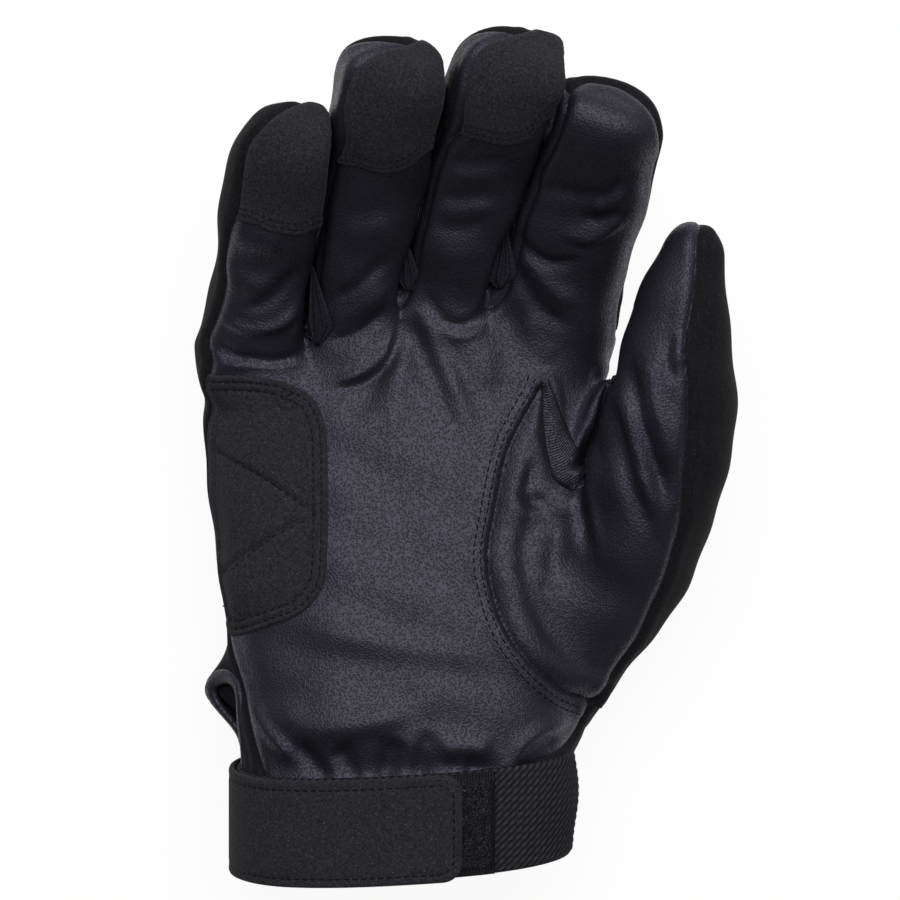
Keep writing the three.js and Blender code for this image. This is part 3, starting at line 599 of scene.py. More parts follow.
def wristOf(table):
    x, y, z = (col(table, k) for k in "xyz")
    return y + cuffForm["slant"] * (z - cuffForm["middle"]) - cuffForm["tilt"] * x - seams["wristEnd"]


# limits of the regions that a seam may cut
region = dict(fingersY=30, thumbX=34, thumbY=60, thumbStart=8, thumbSideX=10, facing=-0.2, padFacing=-0.1,
              rightX=5, rightY=-40, ventX=-20)
table, tris = measureSkin(skinPoints, pointNormals(skinPoints, skinTris)), skinTris


def at(name):
    return middles(table, tris, name)


for i in range(3):
    table, tris = cutAlong(table, tris, col(table, "part" + str(i)), at("y") > region["fingersY"])


def laneOf(table, tris):
    lane = np.zeros(len(tris), int)
    for i in range(3):
        lane += middles(table, tris, "part" + str(i)) > 0
    return np.where(middles(table, tris, "slot") > 0, 4, lane)


for i, (name, f) in enumerate(fingers.items()):
    for place in (seams["fingerStart"], f["baseLength"] * seams["basePart"]):
        mask = (laneOf(table, tris) == i) & (at("y") > region["fingersY"])
        table, tris = cutAlong(table, tris, col(table, name + "S") - place, mask)


def fingerOf(table, tris):
    finger = np.full(len(tris), -1)
    lane = laneOf(table, tris)
    high = middles(table, tris, "y") > region["fingersY"]
    for i, name in enumerate(fingerNames):
        finger[high & (lane == i) & (middles(table, tris, name + "S") > seams["fingerStart"])] = i
    return finger


def thumbMoving(table, tris):
    moving = (middles(table, tris, "slot") > 0) & (middles(table, tris, "thumbS") > thumbHingeS)
    return moving & (middles(table, tris, "x") > region["thumbX"]) & (fingerOf(table, tris) < 0)


def onHand():
    return fingerOf(table, tris) < 0


for i, name in enumerate(fingerNames):
    for lineOf in (fingerFrontOf, fingerSidesOf, patchOf)[:3 if name in seams["patches"] else 2]:
        table, tris = cutAlong(table, tris, lineOf(table, name), fingerOf(table, tris) == i)
table, tris = cutAlong(table, tris, wristOf(table), onHand())
tris = tris[(wristOf(table)[tris].mean(1) > 0) | (at("y") > 0)]
mask = onHand() & (at("y") > 0) & (at("y") < region["thumbY"]) & (at("x") > region["thumbX"])
table, tris = cutAlong(table, tris, col(table, "slot"), mask)
mask = onHand() & (at("slot") > 0) & (at("x") > region["thumbX"])
table, tris = cutAlong(table, tris, col(table, "thumbS") - thumbHingeS, mask)
mask = onHand() & (at("x") > region["thumbSideX"]) & (at("thumbS") > region["thumbStart"])
table, tris = cutAlong(table, tris, thumbFrontOf(table), mask)
mask = onHand() & (at("x") > region["thumbSideX"]) & (at("nz") > region["facing"])
table, tris = cutAlong(table, tris, thumbPanelOf(table), mask)
table, tris = cutAlong(table, tris, leftSideOf(table), onHand() & (at("x") < 0))
mask = onHand() & (at("x") > region["rightX"]) & (at("y") < region["rightY"])
table, tris = cutAlong(table, tris, rightSideOf(table), mask)
table, tris = cutAlong(table, tris, ventOf(table), onHand() & (at("x") < region["ventX"]))
mask = onHand() & (at("x") < 0) & (at("nz") > region["padFacing"])
table, tris = cutAlong(table, tris, padOf(table), mask)
print("skin cut:", len(table), "points,", len(tris), "faces")

# which panel each face belongs to
values = {k: fn(table)[tris].mean(1) for k, fn in dict(
    left=leftSideOf, right=rightSideOf, thumbFront=thumbFrontOf, thumbPanel=thumbPanelOf,
    vent=ventOf).items()}
finger = fingerOf(table, tris)
moving = thumbMoving(table, tris)
panel = np.full(len(tris), "backPanel", dtype=object)
x, y, nz = (at(k) for k in ("x", "y", "nz"))
border = dict(wristY=-42, palmFacing=-0.05, thumbX=20, thumbAcross=-2, cuffY=-60)
right = np.where(y < border["wristY"], values["right"] > 0, nz > border["palmFacing"])
panel[np.where(x < 0, values["left"] > 0, right)] = "palmPanel"
panel[(x > border["thumbX"]) & (values["thumbPanel"] > 0) & (nz > region["facing"])] = "thumbBall"
outside = (x > border["thumbX"]) & (at("thumbS") > region["thumbStart"]) & (values["thumbFront"] < 0)
panel[outside & (at("thumbX") > border["thumbAcross"]) & (y > border["cuffY"])] = "backPanel"
panel[moving & (values["thumbFront"] > 0)] = "thumbFront"
panel[moving & (values["thumbFront"] <= 0)] = "thumbBack"
panel[(values["vent"] > 0) & (finger < 0)] = "ventLining"
for i, name in enumerate(fingerNames):
    mine = finger == i
    s = at(name + "S")
    part = np.where(s > fingers[name]["baseLength"] * seams["basePart"], "Tip", "Base")
    front = fingerFrontOf(table, name)[tris].mean(1) > 0
    sides = fingerSidesOf(table, name)[tris].mean(1) > 0
    for half in ("Base", "Tip"):
        panel[mine & (part == half) & front] = name + half + "Front"
        panel[mine & (part == half) & ~front & sides] = name + half + "Sides"
        panel[mine & (part == half) & ~front & ~sides] = name + half + "Back"
names, sizes = np.unique(panel.astype(str), return_counts=True)
print("panels:", dict(zip(names.tolist(), sizes.tolist())))

# folds of the leather: depth, reach on the left and on the right of the line, and the line in the picture
folds = dict(
    little=[
        (-0.88, 2.3, 1.7, [(238, 303), (255, 306), (272, 297), (288, 280), (302, 262)]),
        (0.72, 2.8, 2.8, [(226, 262), (246, 282), (266, 286), (286, 272), (298, 256)]),
        (0.96, 1.7, 1.1, [(218, 318), (236, 327), (256, 331), (282, 325), (304, 304)]),
        (-1.04, 1.4, 1.8, [(208, 340), (230, 352), (250, 359), (280, 362), (308, 350)]),
        (0.72, 1.0, 0.9, [(218, 366), (245, 365), (280, 367), (302, 362)]),
        (0.64, 2.9, 2.9, [(234, 236), (258, 240), (286, 246)]),
    ],
    ring=[
        (-0.68, 1.9, 1.4, [(330, 302), (352, 290), (376, 270), (392, 258)]),
        (0.6, 2.4, 2.4, [(326, 326), (352, 314), (376, 298), (392, 282)]),
        (-0.68, 1.2, 1.6, [(326, 342), (350, 336), (372, 322), (388, 305)]),
        (0.75, 1.7, 1.2, [(330, 384), (362, 374), (382, 356), (392, 332)]),
        (-0.9, 1.2, 1.9, [(324, 392), (362, 382), (388, 364), (398, 336), (400, 316)]),
        (-0.38, 2.6, 2.6, [(346, 206), (366, 214), (394, 204)]),
        (0.3, 3.1, 3.1, [(344, 240), (366, 236), (390, 222)]),
    ],
    middle=[
        (-0.42, 1.5, 1.8, [(446, 160), (470, 164), (510, 160)]),
        (0.3, 1.6, 1.6, [(448, 174), (474, 178), (506, 174)]),
        (-0.42, 1.6, 1.9, [(438, 192), (462, 197), (500, 194)]),
        (0.3, 1.6, 1.6, [(436, 208), (462, 212), (496, 206)]),
        (-0.36, 1.6, 1.9, [(430, 224), (458, 229), (492, 222)]),
        (0.24, 2.8, 2.8, [(432, 250), (460, 254), (488, 246)]),
        (-0.78, 1.5, 2.2, [(426, 288), (434, 308), (446, 321), (462, 325), (480, 316), (492, 296)]),
        (0.6, 1.2, 1.5, [(438, 322), (452, 335), (470, 334), (484, 324)]),
    ],
    index=[
        (-0.6, 1.7, 1.9, [(534, 184), (556, 190), (590, 196), (612, 192), (640, 168)]),
        (0.52, 1.9, 1.9, [(588, 206), (606, 206), (626, 192)]),
        (-0.75, 1.6, 1.6, [(580, 214), (600, 220), (622, 206)]),
        (0.83, 2.9, 1.2, [(560, 232), (586, 240), (606, 232), (626, 214)]),
        (-0.75, 1.2, 1.9, [(518, 230), (530, 250), (552, 262), (584, 260)]),
        (0.75, 2.4, 1.7, [(520, 246), (536, 274), (560, 296), (584, 306)]),
        (-0.83, 1.7, 2.2, [(512, 258), (524, 286), (546, 312), (576, 330)]),
        (0.45, 2.6, 2.6, [(520, 318), (540, 342), (556, 360)]),
    ],
    palm=[
        (-1.12, 2.8, 3.5, [(411, 310), (413, 328), (421, 352), (438, 390), (458, 444)]),
        (0.9, 2.8, 2.8, [(418, 296), (428, 326), (444, 360), (466, 408)]),
        (-0.83, 2.8, 3.4, [(397, 332), (389, 352), (374, 384), (342, 430)]),
        (0.9, 3.6, 3.6, [(403, 324), (399, 356), (394, 400), (392, 446)]),
        (-0.52, 4.2, 4.2, [(352, 440), (372, 482), (404, 520), (434, 556)]),
        (-0.9, 3.6, 5.0, [(508, 296), (506, 330), (504, 372), (496, 416)]),
        (0.68, 4.5, 3.6, [(494, 300), (490, 344), (486, 398)]),
        (-0.68, 2.5, 2.5, [(434, 318), (452, 356), (476, 404), (494, 446)]),
    ],
    wrist=[
        (0.77, 3.4, 3.9, [(296, 630), (350, 636), (410, 646), (470, 658), (506, 668)]),
        (-0.42, 3.7, 3.4, [(320, 652), (380, 664), (440, 672), (490, 680)]),
        (1.61, 4.6, 4.1, [(262, 690), (284, 714), (316, 728), (360, 726), (420, 708)]),
        (-0.35, 2.8, 3.2, [(292, 738), (330, 746), (380, 736), (430, 722), (470, 724)]),
        (-1.9, 5.2, 4.0, [(258, 762), (330, 773), (400, 771), (460, 765), (505, 766)]),
        (1.19, 1.8, 1.6, [(252, 690), (264, 722), (282, 748), (300, 766)]),
        (1.36, 3.0, 2.8, [(436, 752), (468, 748), (496, 752)]),
        (1.1, 2.3, 1.7, [(512, 766), (524, 746), (546, 730), (576, 716)]),
        (-1.1, 2.1, 2.3, [(520, 776), (536, 752), (560, 738)]),
        (-1.36, 2.4, 2.8, [(292, 740), (312, 762), (330, 790)]),
        (-1.44, 2.8, 2.8, [(334, 744), (346, 764), (354, 790)]),
        (-1.44, 2.8, 2.5, [(396, 736), (388, 762), (382, 790)]),
        (-1.27, 2.4, 2.4, [(432, 728), (423, 756), (418, 790)]),
        (-1.36, 2.8, 2.3, [(460, 768), (490, 772), (508, 782)]),
    ],
    thumb=[
        (-1.65, 2.4, 2.8, [(625, 344), (632, 388), (644, 432), (658, 478), (670, 516)]),
        (1.05, 2.8, 2.8, [(642, 350), (652, 396), (664, 440), (674, 482)]),
        (-1.5, 2.2, 2.5, [(609, 386), (620, 440), (634, 490), (654, 540)]),
        (1.2, 2.5, 2.5, [(616, 366), (631, 430), (646, 480), (658, 518)]),
        (0.9, 1.5, 2.0, [(603, 392), (594, 430), (589, 476), (592, 520), (602, 556)]),
        (-1.42, 2.5, 1.4, [(590, 424), (582, 470), (580, 514), (588, 560)]),
        (-0.68, 1.5, 1.5, [(676, 330), (668, 352), (672, 372), (684, 384)]),
        (0.68, 1.6, 1.6, [(684, 330), (680, 352), (686, 366)]),
        (0.52, 2.2, 2.0, [(530, 450), (519, 478), (514, 504), (530, 516), (554, 506)]),
        (-0.68, 1.6, 2.0, [(536, 456), (527, 480), (524, 496), (540, 502), (558, 492)]),
        (-0.68, 2.4, 2.4, [(562, 516), (556, 546), (550, 580)]),
        (0.52, 3.0, 3.0, [(546, 524), (540, 556), (544, 590)]),
    ],
)
relief = dict(undulation=0.22, wave=(23.0, 17.0, 29.0), waveShift=1.7, crossWave=3.1,
              ventBulge=8.0, ventAt=(-41.0, 21.0), ventReach=(7.0, 6.4), farthest=9.0,
              lapBand=0.45, lapBandEnd=(3.6, 5.2), lapPuff=1.0, lapRise=(0.4, 3.6), lapFall=(5.0, 9.0),
              lapCrease=0.8, lapCreaseWidth=0.6,
              seamDepth=0.55, seamWidth=0.7, puff=0.35, puffAt=2.4, puffWidth=1.5,
              foldFacing=0.35, foldEnd=0.25, foldShares=(0.12, 0.88))


def foldHeight(table):
    u, v, nz = (col(table, k) for k in ("u", "v", "nz"))
    height = np.zeros(len(table))
    front = smoothStep(nz, 0.0, relief["foldFacing"])
    least, rest = relief["foldShares"]
    for lines in folds.values():
        for depth, left, right, points in lines:
            line = roundLine(points, steps=5)
            reach = 3 * max(left, right) / view["scale"]
            near = (u > line[:, 0].min() - reach) & (u < line[:, 0].max() + reach) & (front > 0)
            near &= (v > line[:, 1].min() - reach) & (v < line[:, 1].max() + reach)
            dist, side, along = besideLine(np.column_stack([u[near], v[near]]), line)
            d = dist * view["scale"] / np.where(side < 0, left, right)
            taper = smoothStep(along, 0, relief["foldEnd"]) * smoothStep(1 - along, 0, relief["foldEnd"])
            height[near] += depth * np.exp(-d * d) * (least + rest * taper) * front[near]
    return height


def familyOf(name):
    if name.endswith("Sides") or name == "ventLining":
        return name[-5:]
    if name.startswith("thumb"):
        return "back" if name == "thumbBack" else "thumb"
    return "back" if name.startswith("back") or name.endswith("Back") else "front"


def edgesOf(tris):
    ends = np.sort(np.concatenate([tris[:, [0, 1]], tris[:, [1, 2]], tris[:, [2, 0]]]), axis=1)
    return ends, np.tile(np.arange(len(tris)), 3)


def facePairs(tris):
    # the ends of each shared edge and the two faces at it
    ends, face = edgesOf(tris)
    key = ends[:, 0] * (tris.max() + 1) + ends[:, 1]
    order = np.argsort(key, kind="stable")
    pair = np.flatnonzero(key[order][1:] == key[order][:-1])
    return ends[order][pair], face[order][pair], face[order][pair + 1]


def seamEdges(tris, kinds):
    # edges between faces of different kinds
    ends, a, b = facePairs(tris)
    apart = kinds[a] != kinds[b]
    return ends[apart], kinds[a[apart]], kinds[b[apart]]


def openEdges(tris):
    ends, _ = edgesOf(tris)
    directed = np.concatenate([tris[:, [0, 1]], tris[:, [1, 2]], tris[:, [2, 0]]])
    key = ends[:, 0] * (tris.max() + 1) + ends[:, 1]
    _, first, count = np.unique(key, return_index=True, return_counts=True)
    return directed[first[count == 1]]


def joinScraps(tris, panel, smallest):
    # a loose scrap of a panel joins the panel that borders it most
    _, a, b = facePairs(tris)
    kinds = panel.astype(str)
    same = kinds[a] == kinds[b]
    label, before = np.arange(len(tris)), None
    while before is None or (label != before).any():
        before, label = label, label.copy()
        low = np.minimum(before[a[same]], before[b[same]])
        np.minimum.at(label, a[same], low)
        np.minimum.at(label, b[same], low)
        label = label[label]
    scraps, sizes = np.unique(label, return_counts=True)
    main = [scraps[kinds[scraps] == name][sizes[kinds[scraps] == name].argmax()] for name in set(kinds)]
    for scrap in scraps[(sizes < smallest) & ~np.isin(scraps, main)]:
        beside = [kinds[there[~same & (label[here] == scrap)]] for here, there in ((a, b), (b, a))]
        names, counts = np.unique(np.concatenate(beside), return_counts=True)
        panel[label == scrap] = names[counts.argmax()]


def awayFrom(points, edges, at, limit):
    # distance of each place to the nearest of some edges
    tree = KDTree(len(edges) * 4)
    for k in range(4):
        spots = points[edges[:, 0]] * (1 - k / 4) + points[edges[:, 1]] * (k / 4)
        for i, spot in enumerate(spots):
            tree.insert(spot, k * len(edges) + i)
    tree.balance()
    return np.array([min(tree.find(p)[2], limit) for p in at])


joinScraps(tris, panel, seams["smallest"])
families = np.array([familyOf(name) for name in panel.astype(str)])
edges, sideA, sideB = seamEdges(tris, families)
lapped = ((sideA == "thumb") & (sideB == "front")) | ((sideA == "front") & (sideB == "thumb"))
points, normals = table[:, :3], unit(table[:, 3:6])
seamAway = awayFrom(points, edges[~lapped], points, relief["farthest"])
lapAway = awayFrom(points, edges[lapped], points, relief["farthest"])
height = foldHeight(table)
height += -relief["seamDepth"] * np.exp(-(seamAway / relief["seamWidth"]) ** 2)
height += relief["puff"] * np.exp(-((seamAway - relief["puffAt"]) / relief["puffWidth"]) ** 2)
thumbSide = thumbPanelOf(table) > 0
near = col(table, "nz") > region["facing"]
onBand = 1 - smoothStep(lapAway, *relief["lapBandEnd"])
onThumb = smoothStep(lapAway, *relief["lapRise"]) * (1 - smoothStep(lapAway, *relief["lapFall"]))
height += near * np.where(thumbSide, relief["lapPuff"] * onThumb, relief["lapBand"] * onBand)
height -= near * relief["lapCrease"] * np.exp(-(lapAway / relief["lapCreaseWidth"]) ** 2)
waves = sum(np.sin(points[:, k] / w * 6.28 + k * relief["waveShift"]
                   + np.roll(points, 1, 1)[:, k] / w * relief["crossWave"])
            for k, w in enumerate(relief["wave"]))
height += relief["undulation"] * waves
bulge = np.exp(-((points[:, 1] - relief["ventAt"][0]) / relief["ventReach"][0]) ** 2
               - ((points[:, 2] - relief["ventAt"][1]) / relief["ventReach"][1]) ** 2)
height += np.where(points[:, 0] < 0, relief["ventBulge"] * bulge, 0)
points = points + normals * height[:, None]
points[:, 2] = np.maximum(points[:, 2], skinGrid["floor"])
normals = pointNormals(points, tris)
print("folds and seams pressed in")


# the pieces of the glove
pieces = {}


def addObject(name, data):
    thing = bpy.data.objects.new(name, data)
    bpy.context.scene.collection.objects.link(thing)
    return thing


def meshPiece(name, v, faces, material, vertexNormals=None):
    mesh = bpy.data.meshes.new(name)
    mesh.from_pydata((v * mm).tolist(), [], faces if isinstance(faces, list) else faces.tolist())
    place = mesh.attributes.new("place", "FLOAT_VECTOR", "POINT")
    place.data.foreach_set("vector", np.asarray(v, np.float32).ravel())
    mesh.polygons.foreach_set("use_smooth", np.ones(len(mesh.polygons), bool))
    mesh.materials.append(material)
    if vertexNormals is not None:
        mesh.normals_split_custom_set_from_vertices(vertexNormals.tolist())
    mesh.update()
    pieces[name] = addObject(name, mesh)
    return pieces[name]


def closedSheet(name, outer, inner, faces, material, vertexNormals=None):
    # an outside, an inside and a closed edge
    rim = openEdges(faces)
    count = len(outer)
    allFaces = np.concatenate([faces, faces[:, ::-1] + count,
                               np.column_stack([rim[:, 1], rim[:, 0], rim[:, 0] + count]),
                               np.column_stack([rim[:, 1], rim[:, 0] + count, rim[:, 1] + count])])
    return meshPiece(name, np.vstack([outer, inner]), allFaces, material, vertexNormals)


def shell(name, v, n, faces, thickness, material, lift=0.0):
    # a panel of the skin with a thickness
    used, local = np.unique(faces, return_inverse=True)
    outer, way = v[used] + n[used] * lift, n[used]
    closedSheet(name, outer, outer - way * (thickness + lift), local.reshape(-1, 3), material,
                np.vstack([way, -way]))


# materials, all on the place attribute, in millimetres
finishes = dict(
    leather=dict(colour=(0.0053, 0.0049, 0.0067), smooth=0.43, rough=0.72, wear=(0.22, 0.60),
                 grain=1.9, randomness=0.9, grainDepth=0.09, grainStrength=1.0,
                 # colour shares by grain height: dark where the grain is low, bright where it is high,
                 # painted shade in the hollows and painted highlight on the tops of the pebbles
                 pebbleShadeAndHighlight=((0.22, 0.15), (0.42, 1.0), (0.62, 2.6)), wornNoise=(0.12, 3.0),
                 worn=((0.35, 0.85), (0.65, 1.15)), specular=0.6, tint=(0.80, 0.76, 1.0, 1)),
    suede=dict(colour=(0.030, 0.0286, 0.0348), fleck=(0.13, 0.127, 0.147), roughness=0.95, grain=3.2),
    neoprene=dict(colour=(0.0115, 0.0108, 0.0138), fleck=(0.055, 0.053, 0.064), roughness=0.85, grain=3.2),
    elastic=dict(colour=(0.024, 0.023, 0.028), fleck=(0.10, 0.098, 0.11), roughness=0.8, grain=3.6),
    tape=dict(colour=(0.010, 0.0097, 0.012), fleck=(0.06, 0.058, 0.066), roughness=0.75, grain=3.0),
    # the loop yarn is about five times lighter than the tape it stands on, a painted highlight on the loops
    loops=dict(colour=(0.055, 0.053, 0.062), fleck=(0.10, 0.098, 0.112), roughness=0.6, grain=1.0),
    thread=dict(colour=(0.006, 0.006, 0.007), fleck=(0.02, 0.02, 0.023), roughness=0.6, grain=3.0),
)
# what the napped and woven finishes share
nap = dict(fleckNoise=(2.0, 0.7), fleckAt=(0.62, 0.74), shadeGrain=0.45, shadeNoise=(3.0, 0.65),
           # ribs: colour shares from groove to crest, painted shade in the grooves and painted highlight on
           # the crests
           shades=((0.35, 0.45), (0.62, 1.0)), ribs=((0.1, 0.25), (0.5, 1.0), (0.9, 1.9)),
           specular=0.12, sheenRoughness=0.5)


def startMaterial(name):
    material = bpy.data.materials.new(name)
    material.use_nodes = True
    nodes, links = material.node_tree.nodes, material.node_tree.links
    shader = nodes["Principled BSDF"]
    place = nodes.new("ShaderNodeAttribute")
    place.attribute_name = "place"
    return material, nodes, links, shader, place.outputs["Vector"]


def noiseNode(nodes, links, place, scale, detail, rough=0.5):
    noise = nodes.new("ShaderNodeTexNoise")
    noise.inputs["Scale"].default_value = scale
    noise.inputs["Detail"].default_value = detail
    noise.inputs["Roughness"].default_value = rough
    links.new(place, noise.inputs["Vector"])
    return noise.outputs["Fac"]


def rampNode(nodes, links, fac, stops):
    ramp = nodes.new("ShaderNodeValToRGB")
    elements = ramp.color_ramp.elements
    elements[0].position, elements[1].position = stops[0][0], stops[-1][0]
    elements[0].color, elements[1].color = (*stops[0][1], 1), (*stops[-1][1], 1)
    for place, colour in stops[1:-1]:
        elements.new(place).color = (*colour, 1)
    links.new(fac, ramp.inputs["Fac"])
    return ramp.outputs["Color"]


def shadesOf(colour, stops):
    return [(place, tuple(c * share for c in colour)) for place, share in stops]


def mixNode(nodes, links, how, a, b):
    mix = nodes.new("ShaderNodeMix")
    mix.data_type, mix.blend_type = "RGBA", how
    mix.inputs["Factor"].default_value = 1.0
    links.new(a, mix.inputs["A"])
    links.new(b, mix.inputs["B"])
    return mix.outputs["Result"]


def bumpNode(nodes, links, shader, heightSocket, strength, depth):
    bump = nodes.new("ShaderNodeBump")
    bump.inputs["Strength"].default_value = strength
    bump.inputs["Distance"].default_value = depth * mm
    links.new(heightSocket, bump.inputs["Height"])
    links.new(bump.outputs["Normal"], shader.inputs["Normal"])


def leatherMaterial(name):
    look = finishes[name]
    material, nodes, links, shader, place = startMaterial(name)
    cells = nodes.new("ShaderNodeTexVoronoi")
    cells.inputs["Randomness"].default_value = look["randomness"]
    cells.inputs["Scale"].default_value = look["grain"]
    links.new(place, cells.inputs["Vector"])
    pits = cells.outputs["Distance"]
    bumpNode(nodes, links, shader, pits, look["grainStrength"], look["grainDepth"])
    # base colour from the grain height: painted shade in the low middles of the pebbles, painted highlight on
    # their raised edges
    pebbleShadeAndHighlight = rampNode(nodes, links, pits, shadesOf(look["colour"], look["pebbleShadeAndHighlight"]))
    wornNoise = noiseNode(nodes, links, place, *look["wornNoise"])
    worn = rampNode(nodes, links, wornNoise, shadesOf((1, 1, 1), look["worn"]))
    links.new(mixNode(nodes, links, "MULTIPLY", pebbleShadeAndHighlight, worn), shader.inputs["Base Color"])
    wear = nodes.new("ShaderNodeMapRange")
    for key, value in zip(("From Min", "From Max", "To Min", "To Max"),
                          (*look["wear"], look["rough"], look["smooth"])):
        wear.inputs[key].default_value = value
    links.new(pits, wear.inputs["Value"])
    links.new(wear.outputs["Result"], shader.inputs["Roughness"])
    shader.inputs["Specular IOR Level"].default_value = look["specular"]
    shader.inputs["Specular Tint"].default_value = look["tint"]
    return material


def napMaterial(name, sheen=0.0, strength=0.5, depth=0.12, ribbed=False):
    look = finishes[name]
    material, nodes, links, shader, place = startMaterial(name)
    fleck = noiseNode(nodes, links, place, look["grain"], *nap["fleckNoise"])
    shade = noiseNode(nodes, links, place, look["grain"] * nap["shadeGrain"], *nap["shadeNoise"])
    tone = rampNode(nodes, links, shade, shadesOf(look["colour"], nap["shades"]))
    # ribbed finishes take their colour from the rib share, which paints shade in the grooves and highlight on
    # the crests where it follows the relief
    if ribbed:
        rib = nodes.new("ShaderNodeAttribute")
        rib.attribute_name = "rib"
        tone = rampNode(nodes, links, rib.outputs["Fac"], shadesOf(look["colour"], nap["ribs"]))
    lit = rampNode(nodes, links, fleck, [(nap["fleckAt"][0], (0, 0, 0)), (nap["fleckAt"][1], look["fleck"])])
    links.new(mixNode(nodes, links, "ADD", tone, lit), shader.inputs["Base Color"])
    bumpNode(nodes, links, shader, fleck, strength, depth)
    shader.inputs["Roughness"].default_value = look["roughness"]
    shader.inputs["Specular IOR Level"].default_value = nap["specular"]
    shader.inputs["Sheen Weight"].default_value = sheen
    shader.inputs["Sheen Roughness"].default_value = nap["sheenRoughness"]
    return material


leather = leatherMaterial("leather")
suede = napMaterial("suede", sheen=0.05)
neoprene = napMaterial("neoprene", sheen=0.03)
elastic = napMaterial("elastic", ribbed=True)
tape = napMaterial("tape", ribbed=True)
# the loop yarn's light colour is a painted highlight on the loops
loopYarnWithPaintedHighlight = napMaterial("loops")
thread = napMaterial("thread")
print("materials made")

# panels of the skin
thickness = dict(leather=1.2, neoprene=2.0, ventSink=2.0)
soft = panel.astype(str)
for name in sorted(set(soft)):
    padded = familyOf(name) in ("back", "ining")
    kind, look = ("neoprene", neoprene) if padded else ("leather", leather)
    sink = thickness["ventSink"] if name == "ventLining" else 0.0
    shell(name, points, normals, tris[soft == name], thickness[kind] + sink, look, -sink)

# lining behind the finger crotches, so that they stay closed when the fingers bend
lining = dict(reach=4.5, along=(-6.0, 15.0), sink=2.5, thickness=0.6)
lined = np.zeros(len(tris), bool)
for i in range(3):
    s = at(fingerNames[i] + "S")
    lined |= ((np.abs(at("part" + str(i))) < lining["reach"]) & (at("y") > region["fingersY"])
              & (s > lining["along"][0]) & (s < lining["along"][1]) & (at("slot") < 0))
shell("crotchLining", points, normals, tris[lined], lining["sink"] + lining["thickness"], neoprene,
      -lining["sink"])


def split(v, extra, faces):
    # each face into four
    ends, _ = edgesOf(faces)
    keys, back = np.unique(ends[:, 0] * len(v) + ends[:, 1], return_inverse=True)
    a, b = keys // len(v), keys % len(v)
    m = len(v) + back.reshape(3, -1)
    out = np.concatenate([np.column_stack(k) for k in (
        (faces[:, 0], m[0], m[2]), (m[0], faces[:, 1], m[1]), (m[2], m[1], faces[:, 2]), (m[0], m[1], m[2]))])
    return np.vstack([v, (v[a] + v[b]) / 2]), np.vstack([extra, (extra[a] + extra[b]) / 2]), out


def overlay(faces, finer=1):
    # a copy of part of the skin: places, normals, picture places, faces
    used, local = np.unique(faces, return_inverse=True)
    v, faces = points[used], local.reshape(-1, 3)
    extra = np.column_stack([normals[used], table[used][:, [columns["u"], columns["v"]]]])
    for _ in range(finer):
        v, extra, faces = split(v, extra, faces)
    return v, unit(extra[:, :3]), extra[:, 3:5], faces


# heel pad
pad = dict(edge=0.9, swell=1.2, swellFrom=3.4, swellTo=10.0, rows=(1.6, 3.5), rowDepth=0.4, rowWidth=0.5,
           farthest=20.0, chevronEnd=(2.0, 5.0),
           chevron=[(221, 452), (266, 479), (302, 505), (315, 514), (302, 522), (274, 536), (226, 573)],
           chevronDepth=0.7, chevronWidth=0.8, sink=0.4)
v, n, uv, faces = overlay(tris[(soft == "palmPanel") & (padOf(table)[tris].mean(1) > 0)])
away = awayFrom(v, openEdges(faces), v, pad["farthest"])
height = pad["edge"] * np.sqrt(1 - (1 - np.clip(away / pad["edge"], 0, 1)) ** 2)
height += pad["swell"] * smoothStep(away, pad["swellFrom"], pad["swellTo"])
for row in pad["rows"]:
    height -= pad["rowDepth"] * np.exp(-((away - row) / pad["rowWidth"]) ** 2)
line = besideLine(uv, np.array(pad["chevron"], float))[0] * view["scale"]
height -= (pad["chevronDepth"] * np.exp(-(line / pad["chevronWidth"]) ** 2)
           * smoothStep(away, *pad["chevronEnd"]))
padSkin = (v + n * height[:, None], faces)
closedSheet("heelPad", padSkin[0], v - n * pad["sink"], faces, suede)

# fingertip patches
patch = dict(rise=0.55, edge=0.6, sink=0.3, farthest=20.0)
patchSkins = {}
for name in seams["patches"]:
    v, n, _, faces = overlay(tris[(soft == name + "TipFront") & (patchOf(table, name)[tris].mean(1) > 0)])
    away = awayFrom(v, openEdges(faces), v, patch["farthest"])
    height = patch["rise"] * np.sqrt(1 - (1 - np.clip(away / patch["edge"], 0, 1)) ** 2)
    patchSkins[name] = (v + n * height[:, None], faces)
    closedSheet(name + "TipPatch", patchSkins[name][0], v - n * patch["sink"], faces, suede)
print("pad and patches made")

# cuff band, measured along its ring from the middle of the front, towards the thumb above zero
cuff = dict(step=0.36, rib=0.24, ribPitch=1.27, ribTurn=50.0, grainPitch=2.6, grain=(0.82, 0.18),
            wave=0.7, waves=0.9, waveStart=0.8, waveAt=52.0, waveReach=20.0, ribEnd=(0.2, 1.4), edge=0.5,
            edgeWidth=0.9)


def cuffRing():
    a = np.linspace(-0.5 * math.pi, 1.5 * math.pi, 2881)[::-1]
    e = 2 / cuffForm["roundness"]
    x = cuffForm["halfWidth"] * np.sign(np.cos(a)) * np.abs(np.cos(a)) ** e
    z = cuffForm["halfDepth"] * np.sign(np.sin(a)) * np.abs(np.sin(a)) ** e
    arc = np.concatenate([[0], np.cumsum(np.hypot(np.diff(x), np.diff(z)))])
    arc -= arc[len(arc) // 2]
    even = np.linspace(arc[0], arc[-1], 1201)
    x, z = np.interp(even, arc, x), np.interp(even, arc, z)
    nx, nz = np.gradient(z, even), -np.gradient(x, even)
    size = np.hypot(nx, nz)
    return even, x, z, -nx / size, -nz / size


ringArc, ringX, ringZ, ringNx, ringNz = cuffRing()


